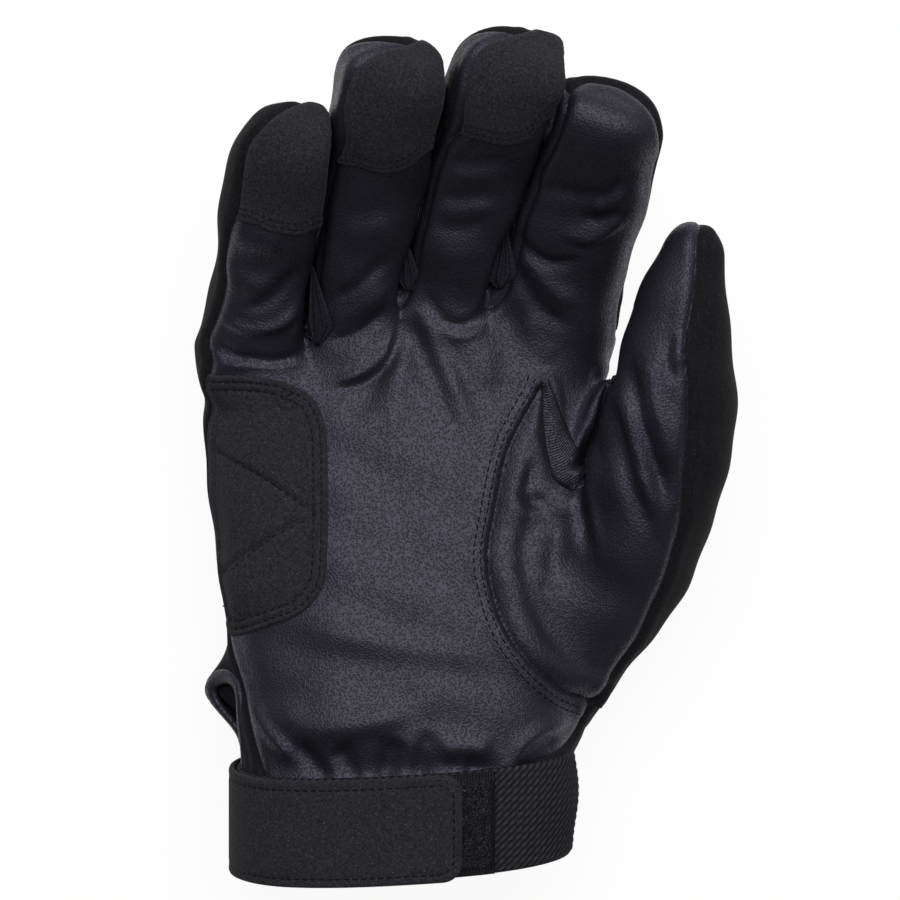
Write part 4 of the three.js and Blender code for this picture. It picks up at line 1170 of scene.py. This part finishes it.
def onCuff(arc, down, level):
    # a place on the cuff: along the ring, down from its top edge, out from its face
    half = ringArc[-1]
    arc = (arc + half) % (2 * half) - half
    x, z, nx, nz = (np.interp(arc, ringArc, k) for k in (ringX, ringZ, ringNx, ringNz))
    x, z = x + nx * level, z + nz * level
    y = cuffForm["top"] - down - cuffForm["slant"] * z + cuffForm["tilt"] * x
    return np.stack([x, y, z + cuffForm["middle"]], -1)


def gridOf(a, b):
    return np.meshgrid(a, b, indexing="ij")


def gridCorners(ids):
    return [k.ravel() for k in (ids[:-1, :-1], ids[1:, :-1], ids[1:, 1:], ids[:-1, 1:])]


def band(name, arcs, downs, outer, inner, material, closed=False, rib=None):
    # a strip on the cuff from a grid of arcs and depths with outer and inner levels
    rows, cols = arcs.shape
    top, bottom = onCuff(arcs, downs, outer).reshape(-1, 3), onCuff(arcs, downs, inner).reshape(-1, 3)
    ids = np.arange(rows * cols).reshape(rows, cols)
    if closed:
        ids = np.vstack([ids, ids[:1]])
    a, b, c, d = gridCorners(ids)
    faces = np.concatenate([np.column_stack([a, c, b]), np.column_stack([a, d, c])])
    piece = closedSheet(name, top, bottom, faces, material)
    # the rib share of each point, which the ribbed finishes turn into painted light and shade where it
    # follows the ribs
    if rib is not None:
        crest = piece.data.attributes.new("rib", "FLOAT", "POINT")
        crest.data.foreach_set("value", np.tile(rib.ravel(), 2).astype(np.float32))


half = ringArc[-1]
around = int(2 * half / cuff["step"])
arcs, downs = gridOf(np.linspace(-half, half, around, endpoint=False),
                     np.linspace(0, cuffForm["length"], int(cuffForm["length"] / cuff["step"])))
turn = math.radians(cuff["ribTurn"])
phase = (arcs * math.cos(turn) + downs * math.sin(turn)) / cuff["ribPitch"] * 2 * math.pi
rowOf = np.floor(phase / (2 * math.pi) + 0.5)
alongRib = (downs * math.cos(turn) - arcs * math.sin(turn)) / cuff["grainPitch"] * 2 * math.pi
grain = cuff["grain"][0] + cuff["grain"][1] * np.cos(alongRib + math.pi * rowOf)
ribReliefAndShade = (0.5 + 0.5 * np.cos(phase)) * grain
edge = np.minimum(downs, cuffForm["length"] - downs)
roll = np.sin(downs / cuffForm["length"] * 2 * math.pi * cuff["waves"] - cuff["waveStart"])
ribs = cuff["wave"] * roll * np.exp(-((arcs - cuff["waveAt"]) / cuff["waveReach"]) ** 2)
ribs += cuff["rib"] * (2 * ribReliefAndShade - 1) * smoothStep(edge, *cuff["ribEnd"])
ribs -= cuff["edge"] * (1 - smoothStep(edge, 0, cuff["edgeWidth"]))
# the band's colour follows the same rib share: lighter on the crests, darker in the grooves, painted light
# and shade on the ribs
band("cuffBand", arcs, downs, ribs, np.full(arcs.shape, -cuffForm["thickness"]), elastic, closed=True,
     rib=ribReliefAndShade)

# loop tape on the cuff
loopTape = dict(start=-22.0, end=21.5, level=0.25, thickness=0.8, step=0.18, margin=0.2, rows=60, base=0.1,
                selvedge=2.0, selvedgeDrop=0.3, selvedgeStep=0.5, ribPitch=0.72, rib=0.12, shade=0.2)
arcs, downs = gridOf(np.arange(loopTape["start"], loopTape["end"], loopTape["step"]),
                     np.linspace(loopTape["margin"], cuffForm["length"] - loopTape["margin"],
                                 loopTape["rows"]))
edge = np.minimum(downs, cuffForm["length"] - downs)
drop = smoothStep(edge, loopTape["selvedge"], loopTape["selvedge"] - loopTape["selvedgeStep"])
ribs = np.cos(arcs / loopTape["ribPitch"] * 2 * math.pi)
outer = loopTape["level"] + loopTape["thickness"] - loopTape["selvedgeDrop"] * drop
outer = outer + loopTape["rib"] * ribs * (edge < loopTape["selvedge"])
# colour share: on the selvedges it follows the ribs, lighter on crests and darker between them, painted light
# and shade; over the loop field a flat darker tone
selvedgeRibShadeAndFieldTone = np.where(edge < loopTape["selvedge"], 0.5 + 0.5 * ribs, loopTape["shade"])
band("loopTape", arcs, downs, outer, np.full(arcs.shape, loopTape["base"]), tape, rib=selvedgeRibShadeAndFieldTone)

# strap from its sewn end on the back, round the side, to the tab over the loop tape
strap = dict(start=-98.0, end=13.5, thickness=1.25, corner=4.5, frontLevel=2.2, sideLevel=0.35, rise=(-50.0,
                                                                                                      -26.0),
             step=0.7, overhang=0.3, edge=0.7, edgeShares=(0.45, 0.55), rowAt=2.1, rowDepth=0.28,
             rowWidth=0.5)


def strapLevel(arcs):
    return strap["sideLevel"] + (strap["frontLevel"] - strap["sideLevel"]) * smoothStep(arcs, *strap["rise"])


shares = np.concatenate([[0, 0.01, 0.025], np.linspace(0.05, 0.95, 40), [0.975, 0.99, 1]])
arcs, share = gridOf(np.arange(strap["start"], strap["end"] + 0.01, strap["step"]), shares)
into = np.clip(arcs - (strap["end"] - strap["corner"]), 0, strap["corner"])
cornerCut = strap["corner"] - np.sqrt(strap["corner"] ** 2 - into ** 2)
width = cuffForm["length"] + 2 * strap["overhang"]
downs = -strap["overhang"] + cornerCut + share * (width - 2 * cornerCut)
level = strapLevel(arcs)
edge = np.minimum(downs - cornerCut + strap["overhang"], width - strap["overhang"] - cornerCut - downs)
edge = np.minimum(edge, np.minimum(strap["end"] - arcs, arcs - strap["start"]))
bow = np.sqrt(1 - (1 - np.clip(edge / strap["edge"], 0, 1)) ** 2)
outer = level + strap["thickness"] * (strap["edgeShares"][0] + strap["edgeShares"][1] * bow)
outer = outer - strap["rowDepth"] * np.exp(-((edge - strap["rowAt"]) / strap["rowWidth"]) ** 2)
band("strap", arcs, downs, outer, level, suede)
hookTape = dict(start=-18.0, end=10.6, step=0.6, margin=1.2, rows=30, sink=0.05, thickness=0.7, shade=0.4)
arcs, downs = gridOf(np.arange(hookTape["start"], hookTape["end"], hookTape["step"]),
                     np.linspace(hookTape["margin"], cuffForm["length"] - hookTape["margin"],
                                 hookTape["rows"]))
band("hookTape", arcs, downs, np.full(arcs.shape, strap["frontLevel"] + hookTape["sink"]),
     np.full(arcs.shape, strap["frontLevel"] - hookTape["thickness"]), tape,
     rib=np.full(arcs.shape, hookTape["shade"]))
print("cuff and strap made")


# rows of stitches and tape loops by geometry nodes
def newTree(name, inputs):
    tree = bpy.data.node_groups.new(name, "GeometryNodeTree")
    tree.interface.new_socket("Geometry", in_out="INPUT", socket_type="NodeSocketGeometry")
    for label, kind in inputs.items():
        tree.interface.new_socket(label, in_out="INPUT", socket_type="NodeSocket" + kind)
    tree.interface.new_socket("Geometry", in_out="OUTPUT", socket_type="NodeSocketGeometry")
    return tree, tree.nodes.new("NodeGroupInput").outputs, tree.nodes.new("NodeGroupOutput").inputs[0]


def addNode(tree, kind, links=None, **settings):
    node = tree.nodes.new(kind)
    for key, value in settings.items():
        setattr(node, key, value)
    for key, value in (links or {}).items():
        if isinstance(value, bpy.types.NodeSocket):
            tree.links.new(value, node.inputs[key])
        else:
            node.inputs[key].default_value = value
    return node


def endTree(tree, instances, material, out):
    # real geometry, its place in millimetres, smooth faces, material
    real = addNode(tree, "GeometryNodeRealizeInstances", dict(Geometry=instances))
    spot = addNode(tree, "GeometryNodeInputPosition")
    size = addNode(tree, "ShaderNodeVectorMath", dict(Vector=spot.outputs[0], Scale=1 / mm),
                   operation="SCALE")
    keep = addNode(tree, "GeometryNodeStoreNamedAttribute", dict(Geometry=real.outputs[0], Name="place"),
                   data_type="FLOAT_VECTOR", domain="POINT")
    tree.links.new(size.outputs[0], keep.inputs["Value"])
    smooth = addNode(tree, "GeometryNodeSetShadeSmooth", dict(Geometry=keep.outputs[0]))
    last = addNode(tree, "GeometryNodeSetMaterial", dict(Geometry=smooth.outputs[0], Material=material))
    tree.links.new(last.outputs[0], out)


def stitchTree():
    tree, given, out = newTree("stitchRow", dict(Pitch="Float", Size="Vector", Thread="Material"))
    curve = addNode(tree, "GeometryNodeMeshToCurve", dict(Mesh=given["Geometry"]))
    spaced = addNode(tree, "GeometryNodeResampleCurve", dict(Curve=curve.outputs[0], Length=given["Pitch"]),
                     mode="LENGTH")
    way = addNode(tree, "GeometryNodeInputTangent")
    up = addNode(tree, "GeometryNodeInputNamedAttribute", dict(Name="stitchNormal"), data_type="FLOAT_VECTOR")
    turn = addNode(tree, "FunctionNodeAxesToRotation", primary_axis="X", secondary_axis="Z")
    tree.links.new(way.outputs[0], turn.inputs[0])
    tree.links.new(up.outputs["Attribute"], turn.inputs[1])
    ball = addNode(tree, "GeometryNodeMeshUVSphere", dict(Segments=8, Rings=6, Radius=1.0))
    form = addNode(tree, "GeometryNodeTransform", dict(Geometry=ball.outputs[0], Scale=given["Size"]))
    many = addNode(tree, "GeometryNodeInstanceOnPoints", dict(
        Points=spaced.outputs[0], Instance=form.outputs[0], Rotation=turn.outputs[0]))
    endTree(tree, many.outputs[0], given["Thread"], out)
    return tree


def loopTree():
    tree, given, out = newTree("tapeLoops", dict(Density="Float", Radius="Float", Wire="Float", Sweep="Float",
                                                 Seed="Int", Tape="Material"))
    spots = addNode(tree, "GeometryNodeDistributePointsOnFaces", dict(
        Mesh=given["Geometry"], Density=given["Density"], Seed=given["Seed"]))
    arc = addNode(tree, "GeometryNodeCurveArc", {"Resolution": 7, "Radius": given["Radius"],
                                                 "Sweep Angle": given["Sweep"]})
    wire = addNode(tree, "GeometryNodeCurvePrimitiveCircle", dict(Resolution=4, Radius=given["Wire"]))
    tube = addNode(tree, "GeometryNodeCurveToMesh", {"Curve": arc.outputs[0],
                                                     "Profile Curve": wire.outputs[0],
                                                     "Fill Caps": True})
    stand = addNode(tree, "GeometryNodeTransform", dict(Geometry=tube.outputs[0], Rotation=(math.pi / 2, 0,
                                                                                            0)))
    any3 = addNode(tree, "FunctionNodeRandomValue", dict(Seed=given["Seed"]), data_type="FLOAT_VECTOR")
    any3.inputs[0].default_value, any3.inputs[1].default_value = (-0.7, -0.7, -3.1), (0.7, 0.7, 3.1)
    turn = addNode(tree, "FunctionNodeRotateRotation", dict(Rotation=spots.outputs["Rotation"]),
                   rotation_space="LOCAL")
    tree.links.new(any3.outputs[0], turn.inputs[1])
    many = addNode(tree, "GeometryNodeInstanceOnPoints", dict(
        Points=spots.outputs["Points"], Instance=stand.outputs[0], Rotation=turn.outputs[0]))
    endTree(tree, many.outputs[0], given["Tape"], out)
    return tree


def grown(name, source, tree, settings):
    # run a tree on a mesh and keep the result as a plain piece
    mod = source.modifiers.new("grow", "NODES")
    mod.node_group = tree
    for item in tree.interface.items_tree:
        if item.in_out == "INPUT" and item.name in settings:
            mod[item.identifier] = settings[item.name]
    bpy.context.view_layer.update()
    graph = bpy.context.evaluated_depsgraph_get()
    mesh = bpy.data.meshes.new_from_object(source.evaluated_get(graph), depsgraph=graph)
    mesh.name = name
    bpy.data.objects.remove(source)
    pieces[name] = addObject(name, mesh)


def lineMesh(name, rows):
    # rows of (places, normals) in millimetres as one mesh of edges
    mesh = bpy.data.meshes.new(name)
    v = np.vstack([r[0] for r in rows])
    starts = np.cumsum([0] + [len(r[0]) for r in rows])
    edges = [(k, k + 1) for a, b in zip(starts[:-1], starts[1:]) for k in range(a, b - 1)]
    mesh.from_pydata((v * mm).tolist(), edges, [])
    up = mesh.attributes.new("stitchNormal", "FLOAT_VECTOR", "POINT")
    up.data.foreach_set("vector", np.vstack([r[1] for r in rows]).astype(np.float32).ravel())
    return addObject(name, mesh)


stitch = dict(pitch=2.0, size=(0.78, 0.2, 0.17))
stitches = stitchTree()


def sewn(name, rows, pitch=stitch["pitch"], size=stitch["size"]):
    rows = [r for r in rows if len(r[0]) > 2]
    grown(name, lineMesh(name + "Line", rows), stitches,
          dict(Pitch=pitch * mm, Size=tuple(k * mm for k in size), Thread=thread))


def treeOf(*skins):
    v, faces, count = [], [], 0
    for places, tri in skins:
        v.append(places)
        faces.append(tri + count)
        count += len(places)
    return BVHTree.FromPolygons(np.vstack(v).tolist(), np.vstack(faces).tolist())


wholeSkin = treeOf((points, tris), padSkin, *patchSkins.values())


def seenAt(line, skin=wholeSkin, rise=0.0, step=2.0):
    # places and normals where a line of the picture meets the glove, in unbroken runs
    line = np.asarray(line, float)
    length = np.concatenate([[0], np.cumsum(np.linalg.norm(np.diff(line, axis=0), axis=1))])
    at = np.linspace(0, length[-1], max(int(length[-1] / step), 2) + 1)
    runs, spots, ups = [], [], []
    for u, v in np.stack([np.interp(at, length, line[:, k]) for k in (0, 1)], 1):
        target = np.array([*fromPicture(u, v), view["planeHeight"]])
        hit, normal, _, _ = skin.ray_cast(Vector(viewPoint), Vector(target - viewPoint).normalized())
        if hit is not None and normal.z > 0.05:
            spots.append(np.array(hit) + np.array(normal) * rise)
            ups.append(np.array(normal))
        elif spots:
            runs.append((np.array(spots), np.array(ups)))
            spots, ups = [], []
    if spots:
        runs.append((np.array(spots), np.array(ups)))
    return runs


def softRun(run, passes=3):
    spots, ups = run
    for _ in range(passes):
        spots, ups = (np.vstack([k[:1], (k[:-2] + 2 * k[1:-1] + k[2:]) / 4, k[-1:]]) for k in (spots, ups))
    return spots, ups


def inset(line, away):
    # a line of the picture moved to its left
    way = unit(np.gradient(np.asarray(line, float), axis=0))
    return line + away * np.column_stack([way[:, 1], -way[:, 0]])


# pad stitches
outline = roundLine(seams["pad"], closed=True, steps=6)
padTree = treeOf(padSkin)
rows = []
for row in pad["rows"]:
    rows += seenAt(inset(np.vstack([outline, outline[:1]]), -row / view["scale"]), padTree)
for a, b in zip(pad["chevron"][:-1], pad["chevron"][1:]):
    rows += seenAt([a, b], padTree)
sewn("heelPadStitches", rows)

# thumb seam stitches
thumbSeam = dict(line=[(541, 384), (536, 396), (520, 424), (506, 456), (494, 515), (488, 553), (492, 587),
                       (506, 629), (530, 664), (561, 691), (589, 703)], rows=(1.8, 3.4), rise=0.02)
line = roundLine(thumbSeam["line"], steps=8)
rows = []
for row in thumbSeam["rows"]:
    rows += [softRun(r) for r in seenAt(inset(line, -row / view["scale"]), rise=thumbSeam["rise"])]
sewn("thumbStitches", rows)

# stitches along the lower edges of the tip patches
patchRows = dict(shifts=(5, 11), pitch=1.5, size=(0.55, 0.17, 0.14))
for name, skin in patchSkins.items():
    rows = []
    for shift in patchRows["shifts"]:
        edge = roundLine(seams["patches"][name], steps=6)
        rows += seenAt(edge - np.array([0, shift]), treeOf(skin))
    sewn(name + "PatchStitches", rows, patchRows["pitch"], patchRows["size"])

# strap stitches, one row inside the edge
strapRow = dict(first=2.0, last=6.0, side=1.8, end=2.1, corner=3.4, sink=0.2)
bow = np.linspace(0, 1.57, 7)
straight = np.arange(strap["start"] + strapRow["first"], strap["end"] - strapRow["last"], 1.0)
arcs = np.concatenate([straight, strap["end"] - strapRow["end"] - strapRow["corner"] * (1 - np.sin(bow))])
deep = strapRow["side"] + np.concatenate([np.zeros(len(straight)), strapRow["corner"] * (1 - np.cos(bow))])
arcs = np.concatenate([arcs, arcs[::-1]])
deep = np.concatenate([deep, cuffForm["length"] - deep[::-1]])
level = strapLevel(arcs) + strap["thickness"] - strapRow["sink"]
spots = onCuff(arcs, deep, level)
ups = onCuff(arcs, deep, level + 1) - spots
sewn("strapStitches", [(spots, ups)])
print("stitches sewn")

# bound edge of the side vent
binding = dict(halfWidth=1.85, halfHeight=1.25, rise=0.15, sides=14, lowest=-62.0)
vent = seams["vent"]
path = []
for y in np.linspace(binding["lowest"], vent["top"] - vent["halfWidth"], 14)[:-1]:
    path.append((y, np.interp(y, vent["taperY"], vent["taperWidth"])))
turnAt, reach = vent["top"] - vent["halfWidth"], vent["halfWidth"]
turnPath = [(turnAt + reach * math.sin(a), reach * math.cos(a)) for a in np.linspace(0, math.pi, 11)]
legs = [(y, vent["middle"] + w) for y, w in path + turnPath]
legs += [(y, vent["middle"] - w) for y, w in path[::-1]]
skinTree = treeOf((points, tris))
centres, ups = [], []
for y, z in legs:
    hit, normal, _, _ = skinTree.ray_cast(Vector((-90, y, z)), Vector((1, 0, 0)))
    centres.append(np.array(hit) + np.array(normal) * binding["rise"])
    ups.append(np.array(normal))
centres, ups = softRun((np.array(centres), np.array(ups)), 4)
centres, ups = roundLine(centres, steps=5), roundLine(ups, steps=5)
way = unit(np.gradient(centres, axis=0))
ups = unit(ups - way * (ups * way).sum(1)[:, None])
over = np.cross(ups, way)
a = np.linspace(0, 2 * math.pi, binding["sides"], endpoint=False)
tube = (centres[:, None] + over[:, None] * (binding["halfWidth"] * np.cos(a))[None, :, None]
        + ups[:, None] * (binding["halfHeight"] * np.sin(a))[None, :, None])


def tubeFaces(count, sides):
    ids = np.arange(count * sides).reshape(count, sides)
    a, b = ids[:-1], ids[1:]
    quads = np.stack([a, b, np.roll(b, -1, 1), np.roll(a, -1, 1)], -1).reshape(-1, 4)
    return quads.tolist() + [ids[0].tolist(), ids[-1][::-1].tolist()]


meshPiece("ventBinding", tube.reshape(-1, 3), tubeFaces(len(centres), binding["sides"]), leather)

# stitched strip in the thumb crotch
gore = dict(left=[(541, 378), (542, 400), (544, 430), (548, 458), (555, 480), (573, 491)],
            right=[(548, 379), (556, 398), (564, 420), (573, 440), (582, 456), (588, 472)],
            rise=0.12, base=0.25, sink=0.6, across=9, along=90, softer=6, firstRow=6, rowStep=2,
            pitch=0.8, size=(0.46, 0.15, 0.13))
left, right = (roundLine(gore[k], steps=12) for k in ("left", "right"))
grid = []
for k in range(gore["across"]):
    t = k / (gore["across"] - 1)
    grid.append(left * (1 - t) + right * t)
spots = []
for row in grid:
    hit = seenAt(row, skinTree, step=0.2)
    run = max(hit, key=lambda r: len(r[0]))
    even = np.linspace(0, len(run[0]) - 1, gore["along"])
    spots.append(np.stack([np.interp(even, np.arange(len(run[0])), run[0][:, c]) for c in range(3)], 1))
spots = np.array(spots)
for _ in range(gore["softer"]):
    spots[:, 1:-1] = (spots[:, :-2] + 2 * spots[:, 1:-1] + spots[:, 2:]) / 4
    spots[1:-1] = (spots[:-2] + 2 * spots[1:-1] + spots[2:]) / 4
ids = np.arange(spots[:, :, 0].size).reshape(spots.shape[:2])
a, b, c, d = gridCorners(ids)
goreFaces = np.concatenate([np.column_stack([a, c, b]), np.column_stack([a, d, c])])
flat = spots.reshape(-1, 3)
up = pointNormals(flat, goreFaces)
if up[:, 2].mean() < 0:
    goreFaces, up = goreFaces[:, ::-1], -up
share = np.repeat(np.linspace(0, 1, gore["across"]), gore["along"])
hump = gore["rise"] * (4 * share * (1 - share)) ** 0.5 + gore["base"]
goreTop = flat + up * hump[:, None]
closedSheet("thumbGore", goreTop, flat - up * gore["sink"], goreFaces, leather)
rows = []
goreGrid, goreUp = goreTop.reshape(*spots.shape), up.reshape(*spots.shape)
inside = range(1, gore["across"] - 1)
for k in range(gore["firstRow"], gore["along"] - 1, gore["rowStep"]):
    chevron = [k - abs(j - gore["across"] // 2) for j in inside]
    rows.append((goreGrid[inside, chevron], goreUp[inside, chevron]))
sewn("goreStitches", rows, gore["pitch"], gore["size"])

# small pleated gussets in the finger crotches
gussets = dict(ring=[(312, 266), (309, 322), (316, 348), (333, 327)],
               middle=[(405, 238), (398, 280), (409, 293), (421, 280)],
               index=[(506, 230), (489, 281), (500, 290), (517, 274)])
gusset = dict(rows=26, across=15, pleats=3, pleat=0.5, rise=0.9, slope=0.42, full=0.78, closing=0.9,
              flare=2.2, swell=0.6, thickness=1.6)
for name, corners in gussets.items():
    top, left, bottom, right = (np.array(c, float) for c in corners)
    base = max(seenAt([bottom - 1, bottom + 1], skinTree), key=lambda r: len(r[0]))[0].mean(0)
    spots = []
    for t in np.linspace(0, 1, gusset["rows"]):
        full = gusset["full"]
        if t < full:
            a, b = (top + (side - top) * (t / full) for side in (left, right))
        else:
            a, b = (side + (bottom - side) * (t - full) / (1 - full) * gusset["closing"]
                    for side in (left, right))
        for w in np.linspace(0, 1, gusset["across"]):
            u, v = a * (1 - w) + b * w + np.array([gusset["flare"] * (w - 0.5), 0])
            x, y = fromPicture(u, v)
            z = base[2] + gusset["rise"] + gusset["slope"] * (y - base[1])
            z += gusset["swell"] * math.sin(math.pi * w)
            z += gusset["pleat"] * math.cos(2 * math.pi * gusset["pleats"] * w) * math.sin(math.pi * w)
            k = (viewPoint[2] - z) / view["distance"]
            spots.append(((x - viewPoint[0]) * k + viewPoint[0], (y - viewPoint[1]) * k + viewPoint[1], z))
    spots = np.array(spots)
    ids = np.arange(len(spots)).reshape(gusset["rows"], gusset["across"])
    a, b, c, d = gridCorners(ids)
    faces = np.concatenate([np.column_stack([a, b, c]), np.column_stack([a, c, d])])
    closedSheet(name + "Gusset", spots, spots - np.array([0, 0, gusset["thickness"]]), faces, leather)
print("vent, gore and gussets made")

# loops of the tape on the cuff and hooks under the tab
loops = loopTree()
pile = dict(step=0.7, rows=30, ends=(0.8, 1.2), margin=0.2, hooks=(-17.5, 10.2), hookMargin=1.6)


def tapeField(name, start, end, top, bottom, level, facing):
    arcs, downs = gridOf(np.arange(start, end, pile["step"]), np.linspace(top, bottom, pile["rows"]))
    spots = onCuff(arcs, downs, np.full(arcs.shape, level)).reshape(-1, 3)
    ids = np.arange(len(spots)).reshape(arcs.shape)
    a, b, c, d = gridCorners(ids)
    faces = np.column_stack([a, d, c, b] if facing > 0 else [a, b, c, d])
    mesh = bpy.data.meshes.new(name)
    mesh.from_pydata((spots * mm).tolist(), [], faces.tolist())
    return addObject(name, mesh)


def pileOf(density, radius, wire, sweep, seed):
    return dict(Density=density / mm ** 2, Radius=radius * mm, Wire=wire * mm, Sweep=sweep, Seed=seed,
                Tape=loopYarnWithPaintedHighlight)


edge = loopTape["selvedge"]
field = tapeField("loopField", loopTape["start"] + pile["ends"][0], loopTape["end"] - pile["ends"][1],
                  edge + pile["margin"], cuffForm["length"] - edge - pile["margin"],
                  loopTape["level"] + loopTape["thickness"], 1)
grown("tapeLoops", field, loops, pileOf(4.2, 0.38, 0.07, math.pi, 4))
field = tapeField("hookField", *pile["hooks"], pile["hookMargin"], cuffForm["length"] - pile["hookMargin"],
                  strap["frontLevel"] - hookTape["thickness"], -1)
grown("tapeHooks", field, loops, pileOf(1.6, 0.3, 0.08, math.pi * 0.8, 9))
print("tapes covered")


# the frame's nodes that each piece stands for are hidden; pieces of the hand, the tip patches and the hook
# tape are tied to a body, the rest keep their places baked in
def along(f, s):
    return tuple(np.array([np.interp(s, f["places"], f["line"][:, k]) for k in range(3)]) * mm)


def settle(name, slot, *nodes):
    if nodes:
        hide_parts(*nodes)


handPieces = dict(palmPanel=("leather", "palm_panel"), backPanel=("neoprene", "back_panel",
                                                                  "thumb_base_back"),
                  thumbBall=("leather", "thumb_base_front"), thumbGore=("leather", "thumb_gore"),
                  ventLining=("neoprene",), crotchLining=("neoprene",), ventBinding=("leather",
                                                                                     "vent_binding"),
                  heelPadStitches=("suede",), thumbStitches=("leather",), goreStitches=("leather",),
                  tapeLoops=("tape",),
                  heelPad=("suede", "heel_pad_cover", "heel_pad_foam"),
                  cuffBand=("elastic", "cuff_elastic", "wrist_elastic"), loopTape=("tape", "loop_patch"))
for name, (slot, *nodes) in handPieces.items():
    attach(pieces[name], "hand")
    settle(name, slot, *nodes)
bend = dict(knuckle=(6.0, 20.0), joint=(-9.0, 9.0), thumb=22.0, strap=((-45, -70, 22), (-45, -70, 32)))
allNodes = set(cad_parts)
for name, f in fingers.items():
    for half, a, b, start, end in (
            ("Base", "hand", name + "_base", *bend["knuckle"]),
            ("Tip", name + "_base", name + "_tip", *(f["baseLength"] + k for k in bend["joint"]))):
        for part, slot, spare in (("Front", "leather", ""), ("Sides", "leather", ""),
                                  ("Back", "neoprene", "_knuckle" if half == "Base" else "_joint")):
            piece = name + half + part
            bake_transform(pieces[piece])
            prefix = name + "_" + half.lower() + "_"
            nodes = [prefix + part.lower()]
            if part == "Sides":
                nodes = [k for k in allNodes if k.startswith(prefix + "fourchette")]
            settle(piece, slot, *sorted(nodes), *([name + spare] if spare else []))
    if name in seams["patches"]:
        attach(pieces[name + "TipPatch"], name + "_tip")
        settle(name + "TipPatch", "suede", name + "_tip_patch")
        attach(pieces[name + "PatchStitches"], name + "_tip")
        settle(name + "PatchStitches", "suede")
    if name in gussets:
        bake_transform(pieces[name + "Gusset"])
        settle(name + "Gusset", "leather")


for name, slot, nodes in (("thumbFront", "leather", ["thumb_tip_front"]),
                          ("thumbBack", "neoprene", ["thumb_tip_back", "thumb_knuckle"])):
    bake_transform(pieces[name])
    settle(name, slot, *nodes)
for name, slot, nodes in (("strap", "suede", ["strap_anchor", "strap_tab"]), ("strapStitches", "suede", [])):
    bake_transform(pieces[name])
    settle(name, slot, *nodes)
for name, nodes in (("hookTape", ["hook_patch"]), ("tapeHooks", [])):
    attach(pieces[name], "strap")
    settle(name, "tape", *nodes)

# white floor, camera and light
stage = dict(size=3.0, white=0.86, keep=0.12, roughness=0.9, specular=0.1, glow=1.05, world=0.05, sensor=36.0)
bpy.ops.mesh.primitive_plane_add(size=stage["size"])
floor = bpy.context.object
floor.name = "floor"
floorLook = bpy.data.materials.new("floorWhite")
floorLook.use_nodes = True
nodes, links = floorLook.node_tree.nodes, floorLook.node_tree.links
shader = nodes["Principled BSDF"]
shader.inputs["Base Color"].default_value = (stage["white"],) * 3 + (1,)
shader.inputs["Roughness"].default_value = stage["roughness"]
shader.inputs["Specular IOR Level"].default_value = stage["specular"]
path, glow, mix, most = (nodes.new("ShaderNode" + k) for k in ("LightPath", "Emission", "MixShader", "Math"))
glow.inputs["Strength"].default_value = stage["glow"]
most.operation = "MULTIPLY"
most.inputs[1].default_value = 1 - stage["keep"]
both = nodes.new("ShaderNodeMath")
both.operation = "MAXIMUM"
links.new(path.outputs["Is Camera Ray"], both.inputs[0])
links.new(path.outputs["Is Glossy Ray"], both.inputs[1])
links.new(both.outputs["Value"], most.inputs[0])
links.new(most.outputs["Value"], mix.inputs["Fac"])
links.new(shader.outputs["BSDF"], mix.inputs[1])
links.new(glow.outputs["Emission"], mix.inputs[2])
links.new(mix.outputs["Shader"], nodes["Material Output"].inputs["Surface"])
floor.data.materials.append(floorLook)

world = bpy.data.worlds.new("studio")
bpy.context.scene.world = world
world.use_nodes = True
world.node_tree.nodes["Background"].inputs["Color"].default_value = (1, 1, 1, 1)
world.node_tree.nodes["Background"].inputs["Strength"].default_value = stage["world"]


def softLight(name, place, aim, size, power):
    lamp = bpy.data.lights.new(name, "AREA")
    lamp.shape, lamp.size, lamp.energy = "DISK", size, power
    light = addObject(name, lamp)
    light.location = place
    light.rotation_euler = (Vector(aim) - Vector(place)).to_track_quat("-Z", "Y").to_euler()


softLight("keyLight", (0.12, 0.65, 1.3), (0, 0, 0.02), 2.0, 25)
softLight("leftLight", (-1.2, 0.5, 0.7), (0, 0, 0.02), 0.6, 0.6)
camera = bpy.data.cameras.new("camera")
camera.sensor_width = stage["sensor"]
camera.lens = stage["sensor"] * view["distance"] / (2 * view["half"] * view["scale"])
camera.clip_start = 0.01
eye = addObject("camera", camera)
eye.location = tuple(viewPoint * mm)
bpy.context.scene.camera = eye
bpy.context.scene.view_settings.view_transform = "Standard"
print("pieces:", len(pieces))
